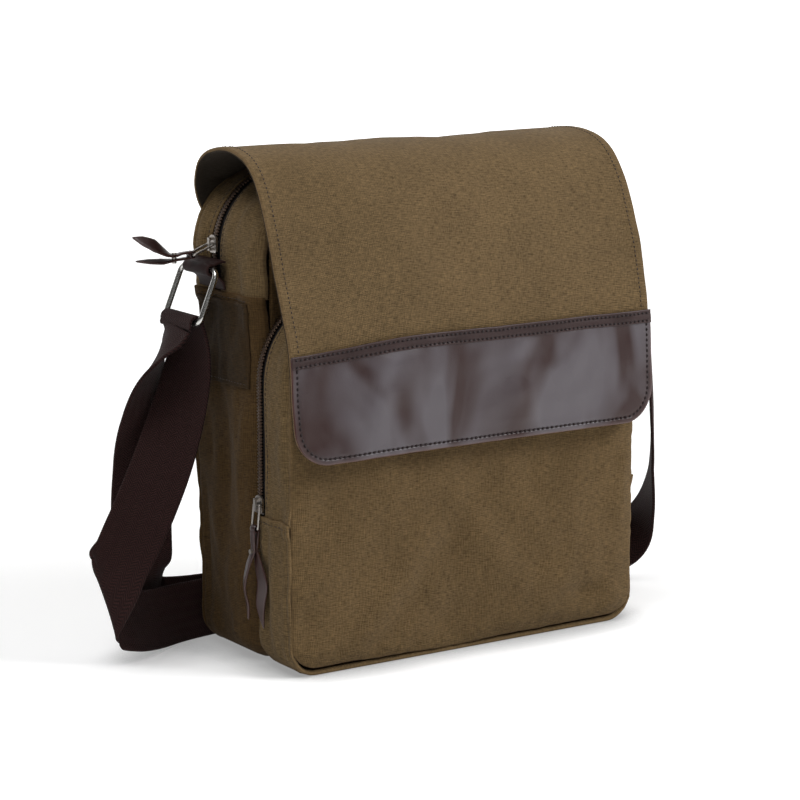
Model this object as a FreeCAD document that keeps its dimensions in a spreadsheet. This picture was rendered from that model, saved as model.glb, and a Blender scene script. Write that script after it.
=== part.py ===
"""Canvas messenger bag with a leather-banded flap, two zipped compartments and a webbing shoulder strap.

Frame: millimetres, +Z up, the front of the bag faces -Y, X runs across it. The origin is on the floor
under the middle of the main body. Cloth parts are plain closed solids of the right size and place.
"""
import FreeCAD, Part
import math
import os

import Sketcher

Vector = FreeCAD.Vector
Y_AXIS = Vector(0, 1, 0)

DRIVING = {
    # body of the bag
    "bag_width": 260.0,
    "main_front": -14.0,        # y of the front edge of the main boxing
    "main_back": 51.5,          # y of its back edge
    "main_height": 302.0,
    "pocket_front": -54.0,      # y of the front edge of the pocket boxing
    "pocket_height": 229.0,
    "top_radius": 50.0,
    "foot_radius": 18.0,
    "panel_thick": 2.5,
    "cloth_thick": 2.0,
    "lining_thick": 0.8,
    "lining_gap": 3.4,          # from the outline of the bag to the outside of a lining
    # zips
    "main_zip_y": 31.5,
    "pocket_zip_y": -21.0,
    "zip_window": 9.0,
    "zip_tape": 15.0,
    "zip_tape_thick": 0.8,
    "chain_width": 4.6,
    "chain_thick": 1.5,
    "main_seam_z": 229.0,       # where zip strip and lower boxing meet
    "pocket_seam_z": 96.0,
    "main_slider_z": 257.0,
    "pocket_slider_z": 103.0,
    # flap
    "flap_width": 266.0,
    "canvas_thick": 1.4,
    "band_height": 68.0,
    "band_thick": 1.2,
    "band_strip": 6.0,
    "flap_corner": 22.0,
    # strap hardware
    "strap_width": 38.0,
    "strap_thick": 2.0,
    "ring_wire": 1.8,           # radius
    "ring_across": 43.0,        # between wire centres, along the bar
    "ring_drop": 34.0,          # between the centres of the two bars
    "ring_corner": 5.0,
    "ring_bar_x": 141.0,
    "ring_bar_y": 31.0,
    "ring_bar_z": 243.0,
    "ring_tilt": 22.5,          # degrees outwards from hanging straight down
    "ring_tilt_right": 62.0,
    "tab_width": 31.0,
    # closure and base
    "snap_radius": 8.5,
    "snap_z": 160.0,
    "board_thick": 2.0,
}

doc = FreeCAD.newDocument("messenger_bag")
sheet = doc.addObject("Spreadsheet::Sheet", "Dims")
for row, (alias, number) in enumerate(DRIVING.items(), start=1):
    sheet.set(f"A{row}", alias)
    sheet.set(f"B{row}", str(number))
    sheet.setAlias(f"B{row}", alias)
doc.recompute()


class Size:
    """A length known both as an expression on the sheet and as its present value."""

    def __init__(self, text, number):
        self.text = str(text)
        self.number = float(number)

    @staticmethod
    def of(other):
        return other if isinstance(other, Size) else Size(repr(float(other)), other)

    def __add__(self, other):
        other = Size.of(other)
        return Size(f"({self.text} + {other.text})", self.number + other.number)

    def __sub__(self, other):
        other = Size.of(other)
        return Size(f"({self.text} - {other.text})", self.number - other.number)

    def __mul__(self, factor):
        return Size(f"({self.text} * {factor})", self.number * factor)

    def __neg__(self):
        return Size(f"(0 - {self.text})", -self.number)

    __rmul__ = __mul__


def dim(alias):
    return Size(f"Dims.{alias}", sheet.get(alias))


def mm(alias):
    """The present value of a driving dimension, for shapes made with Part's own functions."""
    return float(sheet.get(alias))


def bind(thing, prop, size):
    thing.setExpression(prop, Size.of(size).text)


subparts = []


def finish(thing, label):
    """Registers a finished sub-part under its own label."""
    thing.Label = label
    subparts.append(thing)
    return thing


def place(thing, x=0.0, y=0.0, z=0.0):
    for axis, size in zip("xyz", (x, y, z)):
        bind(thing, f".Placement.Base.{axis}", size)


# ---------------------------------------------------------------- sketches of rounded outlines

def origin_plane(body, role):
    return next(f for f in body.Origin.OriginFeatures if f.Role == role)


def new_sketch(body, name, role):
    sketch = body.newObject("Sketcher::SketchObject", name)
    sketch.AttachmentSupport = [(origin_plane(body, role), "")]
    sketch.MapMode = "FlatFace"
    return sketch


def add_constraint(sketch, kind, *where, size=None, name=None):
    if size is None:
        return sketch.addConstraint(Sketcher.Constraint(kind, *where))
    index = sketch.addConstraint(Sketcher.Constraint(kind, *where, size.number))
    sketch.renameConstraint(index, name)
    sketch.setExpression(f"Constraints.{name}", size.text)
    return index


def rounded_outline(sketch, tag, width, height, top_radius, foot_radius, bottom=0.0):
    """A closed rounded rectangle, centred on the sketch's vertical axis and standing on `bottom`."""
    width, height = Size.of(width), Size.of(height)
    top_radius, foot_radius, bottom = Size.of(top_radius), Size.of(foot_radius), Size.of(bottom)
    half, low, high = width.number / 2, bottom.number, bottom.number + height.number
    rt, rf = top_radius.number, foot_radius.number
    ends = [
        ((-half + rf, low), (half - rf, low)),
        ((half, low + rf), (half, high - rt)),
        ((half - rt, high), (-half + rt, high)),
        ((-half, high - rt), (-half, low + rf)),
    ]
    lines = [sketch.addGeometry(Part.LineSegment(Vector(*a, 0), Vector(*b, 0))) for a, b in ends]
    centres = [
        (half - rf, low + rf, rf, -90), (half - rt, high - rt, rt, 0),
        (-half + rt, high - rt, rt, 90), (-half + rf, low + rf, rf, 180),
    ]
    arcs = []
    for x, y, radius, start in centres:
        circle = Part.Circle(Vector(x, y, 0), Vector(0, 0, 1), radius)
        arc = Part.ArcOfCircle(circle, math.radians(start), math.radians(start + 90))
        arcs.append(sketch.addGeometry(arc))
    for k, arc in enumerate(arcs):
        add_constraint(sketch, "Tangent", lines[k], 2, arc, 1)
        add_constraint(sketch, "Tangent", arc, 2, lines[(k + 1) % 4], 1)
    add_constraint(sketch, "Horizontal", lines[2])
    add_constraint(sketch, "Vertical", lines[1])
    add_constraint(sketch, "Vertical", lines[3])
    add_constraint(sketch, "Symmetric", lines[0], 1, lines[0], 2, -2)
    add_constraint(sketch, "DistanceX", lines[3], 1, lines[1], 1, size=width, name=f"width_{tag}")
    add_constraint(sketch, "DistanceY", lines[0], 1, lines[2], 1, size=height, name=f"height_{tag}")
    add_constraint(sketch, "Radius", arcs[0], size=foot_radius, name=f"foot_{tag}")
    add_constraint(sketch, "Equal", arcs[0], arcs[3])
    add_constraint(sketch, "Radius", arcs[1], size=top_radius, name=f"top_{tag}")
    add_constraint(sketch, "Equal", arcs[1], arcs[2])
    if bottom.number == 0:
        add_constraint(sketch, "PointOnObject", lines[0], 1, -1)
    else:
        add_constraint(sketch, "DistanceY", -1, 1, lines[0], 1, size=bottom, name=f"bottom_{tag}")


def pad_body(name, outlines, thick, role="XZ_Plane"):
    """A body padded from one sketch of rounded outlines; on XZ_Plane it grows towards -Y."""
    body = doc.addObject("PartDesign::Body", name)
    sketch = new_sketch(body, f"{name}_outline", role)
    for tag, outline in enumerate(outlines):
        rounded_outline(sketch, chr(ord("a") + tag), *outline)
    pad = body.newObject("PartDesign::Pad", f"{name}_pad")
    pad.Profile = sketch
    bind(pad, "Length", thick)
    body.Tip = pad
    return body


def panel(label, width, height, top_radius, foot_radius, y_back, thick, z_low=0.0):
    """A flat upright panel whose back face is at y_back."""
    body = pad_body(label, [(width, height, top_radius, foot_radius)], thick)
    place(body, y=y_back, z=z_low)
    return finish(body, label)


def hoop(name, height, inset, wall, y_back, depth):
    """A band that runs round the outline of the bag, `inset` inside it and `wall` thick."""
    width = dim("bag_width")
    outlines = []
    for step in (Size.of(inset), Size.of(inset) + wall):
        radii = (dim("top_radius") - step, dim("foot_radius") - step)
        outlines.append((width - step * 2, height - step * 2, *radii, step))
    body = pad_body(name, outlines, depth)
    place(body, y=y_back)
    return body


def slab(name, z_low, z_high):
    """A block wider and deeper than the bag, between two heights; it cuts a hoop into arch and cradle."""
    reach = 400.0
    box = doc.addObject("Part::Box", name)
    bind(box, "Length", reach)
    bind(box, "Width", reach)
    bind(box, "Height", Size.of(z_high) - z_low)
    place(box, -reach / 2, -reach / 2, z_low)
    return box


def keep_between(label, hoop_body, z_low, z_high):
    common = doc.addObject("Part::Common", f"{label}_kept")
    common.Base = hoop_body
    common.Tool = slab(f"{label}_slab", z_low, z_high)
    return finish(common, label)


def box(name, x, y, z, length, width, height):
    solid = doc.addObject("Part::Box", name)
    for prop, size in (("Length", length), ("Width", width), ("Height", height)):
        bind(solid, prop, size)
    place(solid, x, y, z)
    return solid


# ---------------------------------------------------------------- shapes made with Part's own functions

def feature(label, shape, position=None, rotation=None):
    """A sub-part whose curved cloth shape has no primitive; its sizes come from the sheet."""
    thing = doc.addObject("Part::Feature", label)
    thing.Shape = shape
    placement = FreeCAD.Placement()
    placement.Base = position or Vector(0, 0, 0)
    placement.Rotation = rotation or FreeCAD.Rotation()
    thing.Placement = placement
    return finish(thing, label)


def spline_strip(points, inner, outer, half_width, across=Vector(1, 0, 0)):
    """A sheet bent along a smooth line in a plane square to `across`, between two offsets from it."""
    line = Part.BSplineCurve()
    line.interpolate([Vector(*p) for p in points])
    first, last = line.FirstParameter, line.LastParameter
    steps = 4 * (len(points) - 1)
    edges = []
    for offset in (inner, outer):
        side = []
        for k in range(steps + 1):
            at = first + (last - first) * k / steps
            normal = line.tangent(at)[0].cross(across)
            side.append(line.value(at) + normal * offset - across * half_width)
        curve = Part.BSplineCurve()
        curve.interpolate(side)
        edges.append(curve)
    low, high = edges
    ends = [Part.LineSegment(low.StartPoint, high.StartPoint), Part.LineSegment(high.EndPoint, low.EndPoint)]
    wire = Part.Wire(Part.__sortEdges__([e.toShape() for e in (low, *ends, high)]))
    return Part.Face(wire).extrude(across * (2 * half_width))


def arc_length_directions(points, directions, samples):
    """Interpolates a direction per route point onto sampled points, by distance along the route."""
    along = [0.0]
    for a, b in zip(points, points[1:]):
        along.append(along[-1] + (b - a).Length)
    total = along[-1]
    lengths = [0.0]
    for a, b in zip(samples, samples[1:]):
        lengths.append(lengths[-1] + (b - a).Length)
    result = []
    for length in lengths:
        at = length / lengths[-1] * total
        k = max(i for i in range(len(points) - 1) if along[i] <= at)
        share = min(1.0, (at - along[k]) / (along[k + 1] - along[k]))
        result.append(directions[k] * (1 - share) + directions[k + 1] * share)
    return result


def rounded_route(label, points):
    """Straight runs joined by tangent arcs, as points; each arc is as large as its two runs allow."""
    samples = [points[0]]
    radii = []
    for before, corner, after in zip(points, points[1:], points[2:]):
        back, ahead = before - corner, after - corner
        turn = math.pi - back.getAngle(ahead)
        tangent_length = 0.45 * min(back.Length, ahead.Length)
        radii.append(tangent_length / math.tan(turn / 2))
        start = corner + back.normalize() * tangent_length
        end = corner + ahead.normalize() * tangent_length
        bisector = (back + ahead).normalize()
        centre = corner + bisector * (radii[-1] / math.cos(turn / 2))
        count = max(2, math.ceil(math.degrees(turn) / 12))
        from_centre, axis = start - centre, (start - centre).cross(end - centre)
        for k in range(count + 1):
            spin = FreeCAD.Rotation(axis, math.degrees(turn) * k / count)
            samples.append(centre + spin.multVec(from_centre))
    samples.append(points[-1])
    print(label, "bend radii mm:", [round(r) for r in radii])
    return samples


def webbing(label, route):
    """A flat band along a route of (point, direction across the band) pairs."""
    points = [Vector(*p) for p, _ in route]
    across = [Vector(*w) for _, w in route]
    centre = rounded_route(label, points)
    sides = arc_length_directions(points, across, centre)
    half_w, half_t = mm("strap_width") / 2, mm("strap_thick") / 2
    wires = []
    for k, (middle, side) in enumerate(zip(centre, sides)):
        ahead = (centre[min(k + 1, len(centre) - 1)] - centre[max(k - 1, 0)]).normalize()
        side = (side - ahead * side.dot(ahead)).normalize()
        up = ahead.cross(side)
        corners = [middle + side * (a * half_w) + up * (b * half_t) for a, b in ((-1, -1), (1, -1), (1, 1), (-1, 1))]
        wires.append(Part.makePolygon(corners + corners[:1]))
    solid = Part.makeLoft(wires, True, True)
    length = sum((b - a).Length for a, b in zip(centre, centre[1:]))
    full = length * 4 * half_w * half_t
    print(f"{label}: {length:.0f} mm long, volume {solid.Volume / full:.3f} of section times length")
    return feature(label, solid)


# ---------------------------------------------------------------- main body

WIDTH = dim("bag_width")
TOP_R, FOOT_R = dim("top_radius"), dim("foot_radius")
PANEL, CLOTH = dim("panel_thick"), dim("cloth_thick")
MAIN_BACK, MAIN_FRONT = dim("main_back"), dim("main_front")
POCKET_BACK, POCKET_FRONT = MAIN_FRONT - PANEL, dim("pocket_front")
MAIN_H, POCKET_H = dim("main_height"), dim("pocket_height")


def main_panels():
    panel("back_panel", WIDTH, MAIN_H, TOP_R, FOOT_R, MAIN_BACK + PANEL, PANEL)
    panel("main_front_panel", WIDTH, MAIN_H, TOP_R, FOOT_R, MAIN_FRONT, PANEL)
    panel("front_panel", WIDTH, POCKET_H, TOP_R, FOOT_R, POCKET_FRONT, PANEL)


def zip_parts(prefix, height, zip_y, y_back, y_front, seam_z):
    """Lower boxing, the zip strips beside the opening, both tapes and the chain of one compartment."""
    window, tape = dim("zip_window"), dim("zip_tape")
    chain, tape_thick = dim("chain_width"), dim("zip_tape_thick")
    lower = hoop(f"{prefix}_boxing", height, 0.0, CLOTH, y_back, y_back - y_front)
    keep_between(f"{prefix}_lower_gusset", lower, 0.0, seam_z)
    rear_edge, front_edge = zip_y + window * 0.5, zip_y - window * 0.5
    if y_back.number - rear_edge.number > 1:
        rear = hoop(f"{prefix}_rear", height, 0.0, CLOTH, y_back, y_back - rear_edge)
        keep_between(f"{prefix}_zip_strip_rear", rear, seam_z, height)
    front = hoop(f"{prefix}_front", height, 0.0, CLOTH, front_edge, front_edge - y_front)
    keep_between(f"{prefix}_zip_strip_front", front, seam_z, height)
    tape_back = min((zip_y + tape * 0.5, y_back), key=lambda s: s.number)
    for side, start, depth in (
        ("rear", tape_back, tape_back - zip_y - 0.1),
        ("front", zip_y - 0.1, tape * 0.5 - 0.1),
    ):
        tape_hoop = hoop(f"{prefix}_tape_{side}", height, CLOTH, tape_thick, start, depth)
        keep_between(f"{prefix}_zip_tape_{side}", tape_hoop, seam_z, height)
    chain_hoop = hoop(f"{prefix}_chain", height, CLOTH - dim("chain_thick"), dim("chain_thick"),
                      zip_y + chain * 0.5, chain)
    keep_between(f"{prefix}_zip_chain", chain_hoop, seam_z + 4.0, height)


def lining(prefix, height, y_back, y_front):
    """A thin inner bag, open along the top where the outline starts to curve, just inside the panels."""
    gap, thick = dim("lining_gap"), dim("lining_thick")
    outer_w, outer_h = WIDTH - gap * 2, height - gap - TOP_R
    radius = FOOT_R - gap
    depth = y_back - y_front - 1.0
    outer = pad_body(f"{prefix}_lining_outer", [(outer_w, outer_h, 4.0, radius)], depth)
    place(outer, y=y_back - 0.5, z=gap)
    inner_w, inner_h = outer_w - thick * 2, outer_h + 10.0
    inner = pad_body(f"{prefix}_lining_inner", [(inner_w, inner_h, 4.0, radius - thick)], depth - thick * 2)
    place(inner, y=y_back - 0.5 - thick, z=gap + thick)
    bag = doc.addObject("Part::Cut", f"{prefix}_lining_cut")
    bag.Base = outer
    bag.Tool = inner
    return finish(bag, f"{prefix}_lining")


def base_board():
    """The stiffener that keeps the floor of the main compartment flat, under its lining."""
    thick = dim("board_thick")
    corner = 8.0
    body = doc.addObject("PartDesign::Body", "base_board_body")
    sketch = new_sketch(body, "base_board_outline", "XY_Plane")
    long, deep = WIDTH - 44.0, MAIN_BACK - MAIN_FRONT - 8.0
    rounded_outline(sketch, "a", long, deep, corner, corner)
    pad = body.newObject("PartDesign::Pad", "base_board_pad")
    pad.Profile = sketch
    bind(pad, "Length", thick)
    body.Tip = pad
    place(body, y=MAIN_FRONT + 4.0, z=dim("lining_gap") + dim("lining_thick") + 0.1)
    finish(body, "base_board")


# ---------------------------------------------------------------- side hardware

TAB_WALL = 1.6


def bar_point(side):
    return Vector(side * mm("ring_bar_x"), mm("ring_bar_y"), mm("ring_bar_z"))


def side_patch(name, side):
    """The second layer of canvas that backs the tab's seam."""
    thick, high, long = 1.0, 57.0, 46.0
    x = WIDTH * 0.5 if side > 0 else -(WIDTH * 0.5) - thick
    patch = box(name, x, dim("ring_bar_y") - long / 2 - 10.0, dim("main_seam_z") - high, thick, long, high)
    finish(patch, name)


def tab(name, side):
    """A webbing tab folded round the ring's bar; its two plies meet the side of the bag."""
    bar = bar_point(side)
    inner = mm("ring_wire") + 0.4
    middle = inner + TAB_WALL / 2
    wall_x = side * (mm("bag_width") / 2 + 0.05)
    over, under = Vector(wall_x, bar.y, bar.z + 6.5), Vector(wall_x, bar.y, mm("main_seam_z") + 1.5)
    half = mm("tab_width") / 2
    plies = []
    for anchor, sign in ((over, 1), (under, -1)):
        reach = (bar - anchor).Length
        toward = (bar - anchor) * (1 / reach)
        square = Vector(-toward.z, 0, toward.x) * (sign * side)
        square = square if square.z * sign > 0 else square * -1
        lean = math.asin(middle / reach)
        spin = FreeCAD.Rotation(Y_AXIS, math.degrees(lean) * sign * side)
        line = spin.multVec(toward)
        line = line if (anchor + line * reach - bar).dot(square) > 0 else spin.inverted().multVec(toward)
        touch = anchor + line * (reach * math.cos(lean))
        off = Vector(-line.z, 0, line.x) * (TAB_WALL / 2)
        corners = [anchor + off, touch + off, touch - off, anchor - off]
        corners = [c - Y_AXIS * half for c in corners]
        plies.append(Part.Face(Part.makePolygon(corners + corners[:1])).extrude(Y_AXIS * (2 * half)))
    ends = bar - Y_AXIS * half
    sleeve = Part.makeCylinder(inner + TAB_WALL, 2 * half, ends, Y_AXIS)
    bore = Part.makeCylinder(inner, 2 * half + 2, ends - Y_AXIS, Y_AXIS)
    shape = sleeve.fuse(plies).cut(bore)
    outside = Part.makeBox(60, 120, 120, Vector(min(wall_x, wall_x + side * 60), bar.y - 60, bar.z - 60))
    feature(name, shape.common(outside).removeSplitter())


def wire_loop(label, across, drop, corner, wire, position, angle, side):
    """A closed wire loop. Its first bar lies along Y at `position`; the loop hangs down, tilted outwards."""
    body = doc.addObject("PartDesign::Body", f"{label}_body")
    path = new_sketch(body, f"{label}_path", "YZ_Plane")
    rounded_outline(path, "a", across, drop, corner, corner)
    section = new_sketch(body, f"{label}_section", "XZ_Plane")
    circle = section.addGeometry(Part.Circle(Vector(0, 0, 0), Vector(0, 0, 1), Size.of(wire).number))
    add_constraint(section, "Coincident", circle, 3, -1, 1)
    add_constraint(section, "Radius", circle, size=Size.of(wire), name="wire")
    doc.recompute()
    pipe = body.newObject("PartDesign::AdditivePipe", f"{label}_pipe")
    pipe.Profile = section
    pipe.Spine = (path, [f"Edge{k}" for k in range(1, 9)])
    body.Tip = pipe
    body.Placement.Rotation = FreeCAD.Rotation(Y_AXIS, 180 - side * Size.of(angle).number)
    body.Placement.Base = position
    finish(body, label)


def ring(name, side, tilt):
    sizes = [dim(word) for word in ("ring_across", "ring_drop", "ring_corner", "ring_wire")]
    wire_loop(name, *sizes, bar_point(side), tilt, side)


def low_bar(side, tilt):
    """The centre of the ring's lower bar, which carries the strap."""
    angle = math.radians(tilt.number)
    drop = mm("ring_drop")
    return bar_point(side) + Vector(side * drop * math.sin(angle), 0, -drop * math.cos(angle))


# ---------------------------------------------------------------- zip sliders and their pulls

SLIDER = {"long": 11.0, "wide": 8.5, "plate": 1.3, "bridge": 3.0, "roof": 0.9, "gap": 0.3}
PULL_WIRE, PULL_CORNER, PULL_DROP, PULL_ACROSS = 0.75, 1.0, 15.0, 7.0
LACE_WIDE, LACE_THICK = 4.8, 1.4


def slider(name, y, z):
    """A slider on the left side of the bag: its outer plate, and the bridge that holds the pull."""
    face = -(WIDTH * 0.5) - SLIDER["gap"] - SLIDER["plate"]
    body = pad_body(f"{name}_plate", [(SLIDER["wide"], SLIDER["long"], 3.5, 2.0)], SLIDER["plate"], "YZ_Plane")
    place(body, face, y, z - SLIDER["long"] / 2)
    block = box(f"{name}_block", face - SLIDER["bridge"], y - 1.3, z - 4.0, SLIDER["bridge"], 2.6, 8.0)
    slot_deep = SLIDER["bridge"] - SLIDER["roof"]
    slot = box(f"{name}_slot", face - slot_deep, y - 2.0, z - 2.4, slot_deep, 4.0, 4.8)
    bridge = doc.addObject("Part::Cut", f"{name}_bridge")
    bridge.Base = block
    bridge.Tool = slot
    whole = doc.addObject("Part::Fuse", f"{name}_whole")
    whole.Base = body
    whole.Tool = bridge
    finish(whole, name)


def pull_bar(y, z):
    """Where a pull's wire passes under its slider's bridge."""
    slot_deep = SLIDER["bridge"] - SLIDER["roof"]
    return Vector(-mm("bag_width") / 2 - SLIDER["gap"] - SLIDER["plate"] - slot_deep / 2, y, z)


def lace(name, bar, tails, rivet_at, rivet_axis):
    """A leather lace knotted round the far bar of a pull: a small sleeve, two tails and a rivet."""
    wide = LACE_WIDE
    start = bar - Y_AXIS * (wide / 2)
    inner = PULL_WIRE + 0.35
    shape = Part.makeCylinder(inner + LACE_THICK, wide, start, Y_AXIS)
    for points, y_shift in tails:
        strip = spline_strip([(x, bar.y + y_shift, z) for x, z in points], -LACE_THICK / 2, LACE_THICK / 2,
                             wide / 2, Y_AXIS)
        shape = shape.fuse(strip)
    shape = shape.cut(Part.makeCylinder(inner, wide + 12, start - Y_AXIS * 6, Y_AXIS))
    rivet = Part.makeCylinder(1.5, 6.4, rivet_at - rivet_axis * 3.2, rivet_axis)
    feature(name, shape.cut(rivet))
    feature(f"{name}_rivet", rivet)


def far_bar(bar, lean):
    """The middle of a wire loop's far bar, when the loop leans back by `lean` degrees from hanging."""
    angle = math.radians(lean)
    return bar + Vector(-PULL_DROP * math.sin(angle), 0, -PULL_DROP * math.cos(angle))


def tail(far, *steps):
    """A lace tail's centre line, as steps in x and z from the loop's far bar."""
    return [(far.x + x, far.z + z) for x, z in steps]


def main_pull():
    y, z = mm("main_zip_y"), mm("main_slider_z")
    bar, lean = pull_bar(y, z), 68.0
    slider("main_slider", dim("main_zip_y"), dim("main_slider_z"))
    wire_loop("main_pull", PULL_ACROSS, PULL_DROP, PULL_CORNER, PULL_WIRE, bar, lean, -1)
    far = far_bar(bar, lean)
    leaf = tail(far, (-1.2, 0.9), (-12, -0.4), (-22, 4.5), (-39, 13))
    thong = tail(far, (-1.2, -0.9), (-12, -2.4), (-24, -2.2), (-36, -1.6))
    lace("main_lace", far, [(leaf, 0.0), (thong, 0.0)], Vector(far.x - 12, far.y, far.z - 1.2), Vector(0, 0, 1))


def pocket_pull():
    y, z = mm("pocket_zip_y"), mm("pocket_slider_z")
    bar, lean = pull_bar(y, z), 6.0
    slider("pocket_slider", dim("pocket_zip_y"), dim("pocket_slider_z"))
    wire_loop("pocket_pull", PULL_ACROSS, PULL_DROP, PULL_CORNER, PULL_WIRE, bar, lean, -1)
    far = far_bar(bar, lean)
    near = tail(far, (0.9, -1.2), (0.2, -14), (0.4, -34), (0.6, -60))
    away = tail(far, (-0.9, -1.2), (-1.4, -14), (-4.2, -34), (-1.6, -58))
    lace("pocket_lace", far, [(near, 0.0), (away, 0.0)], Vector(far.x - 0.6, far.y, far.z - 14), Vector(1, 0, 0))


def zip_stops():
    """The metal clips that close the lower ends of both chains, left and right."""
    for prefix, y, low in (("main", dim("main_zip_y"), dim("main_seam_z")),
                           ("pocket", dim("pocket_zip_y"), dim("pocket_seam_z"))):
        fuse = doc.addObject("Part::MultiFuse", f"{prefix}_stops")
        wide, high, deep = 5.4, 3.0, 1.8
        left = box(f"{prefix}_stop_left", -(WIDTH * 0.5) + 0.2, y - wide / 2, low + 0.8, deep, wide, high)
        right = box(f"{prefix}_stop_right", WIDTH * 0.5 - 0.2 - deep, y - wide / 2, low + 0.8, deep, wide, high)
        fuse.Shapes = [left, right]
        finish(fuse, f"{prefix}_zip_stops")


# ---------------------------------------------------------------- flap

# The line between the flap's canvas and its lining, as (y, z), from the rear seam over the top and down.
FLAP_TOP_LINE = [
    (56.0, 286.5), (56.7, 296.0), (55.3, 303.5), (49.5, 309.5), (38.0, 313.2), (20.0, 314.8),
    (2.0, 314.0), (-11.0, 310.9), (-19.5, 306.8),
]
FLAP_FRONT_LINE = [
    (-23.0, 304.0), (-31.0, 296.0), (-41.0, 279.0), (-50.5, 255.0), (-58.5, 232.0),
    (-61.5, 210.0), (-63.0, 190.0), (-64.5, 162.0), (-66.0, 134.0),
]
FLAP_LOW = FLAP_FRONT_LINE[-1][1]


def in_plane(points):
    return [(0.0, y, z) for y, z in points]


def rounded_prism(z_low, z_high):
    """A block as wide as the flap with its two lower corners rounded, to trim the flap's front."""
    width, corner = mm("flap_width"), mm("flap_corner")
    block = Part.makeBox(width, 400, z_high - z_low, Vector(-width / 2, -300, z_low))
    low_edges = [e for e in block.Edges if e.BoundBox.YLength > 300 and e.BoundBox.ZMax < z_low + 1]
    return block.makeFillet(corner, low_edges)


def flap():
    half, canvas, lining_t = mm("flap_width") / 2, mm("canvas_thick"), mm("lining_thick")
    band, strip = mm("band_thick"), mm("band_strip")
    layers = (("canvas", 0.0, canvas), ("lining", -lining_t, 0.0))
    seam = box("flap_seam_strip", -(dim("flap_width") * 0.5), MAIN_BACK + PANEL + 0.1, 262.0,
               dim("flap_width"), dim("canvas_thick") + dim("lining_thick"), 21.0)
    finish(seam, "flap_seam_strip")
    for word, inner, outer in layers:
        feature(f"flap_top_{word}", spline_strip(in_plane(FLAP_TOP_LINE), inner, outer, half))
    trim = rounded_prism(FLAP_LOW - 0.5, 400)
    for word, inner, outer in layers:
        shape = spline_strip(in_plane(FLAP_FRONT_LINE), inner, outer, half).common(trim)
        feature(f"flap_front_{word}", shape)
    band_top = FLAP_LOW + mm("band_height")
    reach = Part.makeBox(400, 400, 400, Vector(-200, -300, band_top - 400))
    leather = spline_strip(in_plane(FLAP_FRONT_LINE), canvas, canvas + band, half).common(trim).common(reach)
    feature("flap_leather_band", leather)
    slice_of_top = Part.makeBox(400, 400, strip, Vector(-200, -300, band_top - strip))
    edge = spline_strip(in_plane(FLAP_FRONT_LINE), canvas + band, canvas + band + 0.8, half).common(slice_of_top)
    feature("band_top_strip", edge)


def snap():
    """The two halves of the hidden magnetic closure, on the front panel and under the flap."""
    halves = (
        ("snap_socket", POCKET_FRONT - PANEL, Size.of(2.4)),
        ("snap_stud", Size.of(-59.4), Size.of(3.9)),
    )
    for name, y_back, thick in halves:
        disc = doc.addObject("Part::Cylinder", name)
        bind(disc, "Radius", dim("snap_radius"))
        bind(disc, "Height", thick)
        disc.Placement.Rotation = FreeCAD.Rotation(Vector(1, 0, 0), 90)
        place(disc, 0.0, y_back, dim("snap_z"))
        finish(disc, name)


# ---------------------------------------------------------------- shoulder strap

# Each strap route is a list of (point, direction across the webbing).
STRAP_RIGHT = [
    ((178.6, 31, 230.0), (0, 1, 0)), ((189, 29.5, 233.5), (0.3, 0.95, 0)),
    ((197.5, 27, 221), (0.5, 0.86, 0)), ((202, 24.5, 192), (0.54, 0.82, -0.1)),
    ((205, 22.5, 155), (0.54, 0.82, -0.15)), ((207, 20.5, 115), (0.5, 0.85, -0.1)),
    ((206, 18, 77), (0.3, 0.93, 0.2)), ((197, 16.5, 47), (0.1, 0.76, 0.64)),
    ((182, 22, 27), (-0.05, 0.35, 0.93)), ((168, 38, 20), (0, 0.1, 1)), ((148, 57, 19.3), (0, 0, 1)),
    ((110, 66.5, 19.3), (0, 0, 1)), ((65, 69.4, 19.3), (0, 0, 1)), ((20.2, 69.6, 19.3), (0, 0, 1)),
]
STRAP_LEFT = [
    ((19.8, 69.6, 19.3), (0, 0, 1)), ((-24, 69.9, 19.3), (0, 0, 1)), ((-68, 69.6, 19.3), (0, 0, 1)),
    ((-108, 69.0, 19.3), (0, 0, 1)), ((-138, 68.2, 19.5), (0, 0.2, 0.98)),
    ((-156, 65.5, 23), (0.1, 0.4, 0.9)), ((-167, 60, 39), (0.45, 0.1, 0.8)),
    ((-172, 55, 62), (0.84, -0.4, 0.3)), ((-174, 51.5, 92), (0.84, -0.54, 0)),
    ((-172, 49.5, 124), (0.9, -0.35, 0)), ((-171.5, 48, 152), (0.95, 0.2, 0)),
    ((-169.5, 44.5, 176), (0.8, 0.6, 0)), ((-165, 37, 194), (0.45, 0.89, 0)),
    ((-159.9, 31.6, 203.5), (0.1, 0.99, 0)), ((-158.5, 31, 208.6), (0, 1, 0)),
]
STRAP_TAIL_UPPER = [
    ((-149.6, 31, 209.6), (0, 1, 0)), ((-148.5, 30.5, 197), (-0.15, 0.98, 0)),
    ((-153, 28.5, 176), (-0.35, 0.9, 0.15)), ((-162, 26.5, 150), (-0.5, 0.8, 0.3)),
    ((-174, 25, 121), (-0.62, 0.66, 0.42)), ((-188, 24.5, 93), (-0.68, 0.56, 0.47)),
    ((-203, 23.5, 68), (-0.66, 0.4, 0.63)), ((-214.5, 24, 49), (-0.5, 0.15, 0.86)),
    ((-209, 29.5, 33), (-0.3, 0.2, 0.93)), ((-191, 36.5, 24), (0, 0.4, 0.91)),
    ((-168, 47, 20), (0, 0.3, 0.95)), ((-141, 57.2, 19.3), (0, 0.05, 1)), ((-105, 60.4, 19.3), (0, 0, 1)),
]
STRAP_TAIL_END = [
    ((-104.3, 60.4, 19.3), (0, 0, 1)), ((-67, 61.8, 19.5), (0, 0, 1)), ((-28, 61.4, 21.3), (0, 0, 1)),
    ((8, 62.0, 23.8), (0, 0, 1)),
]
LOOP_BORE = 3.2


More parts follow.
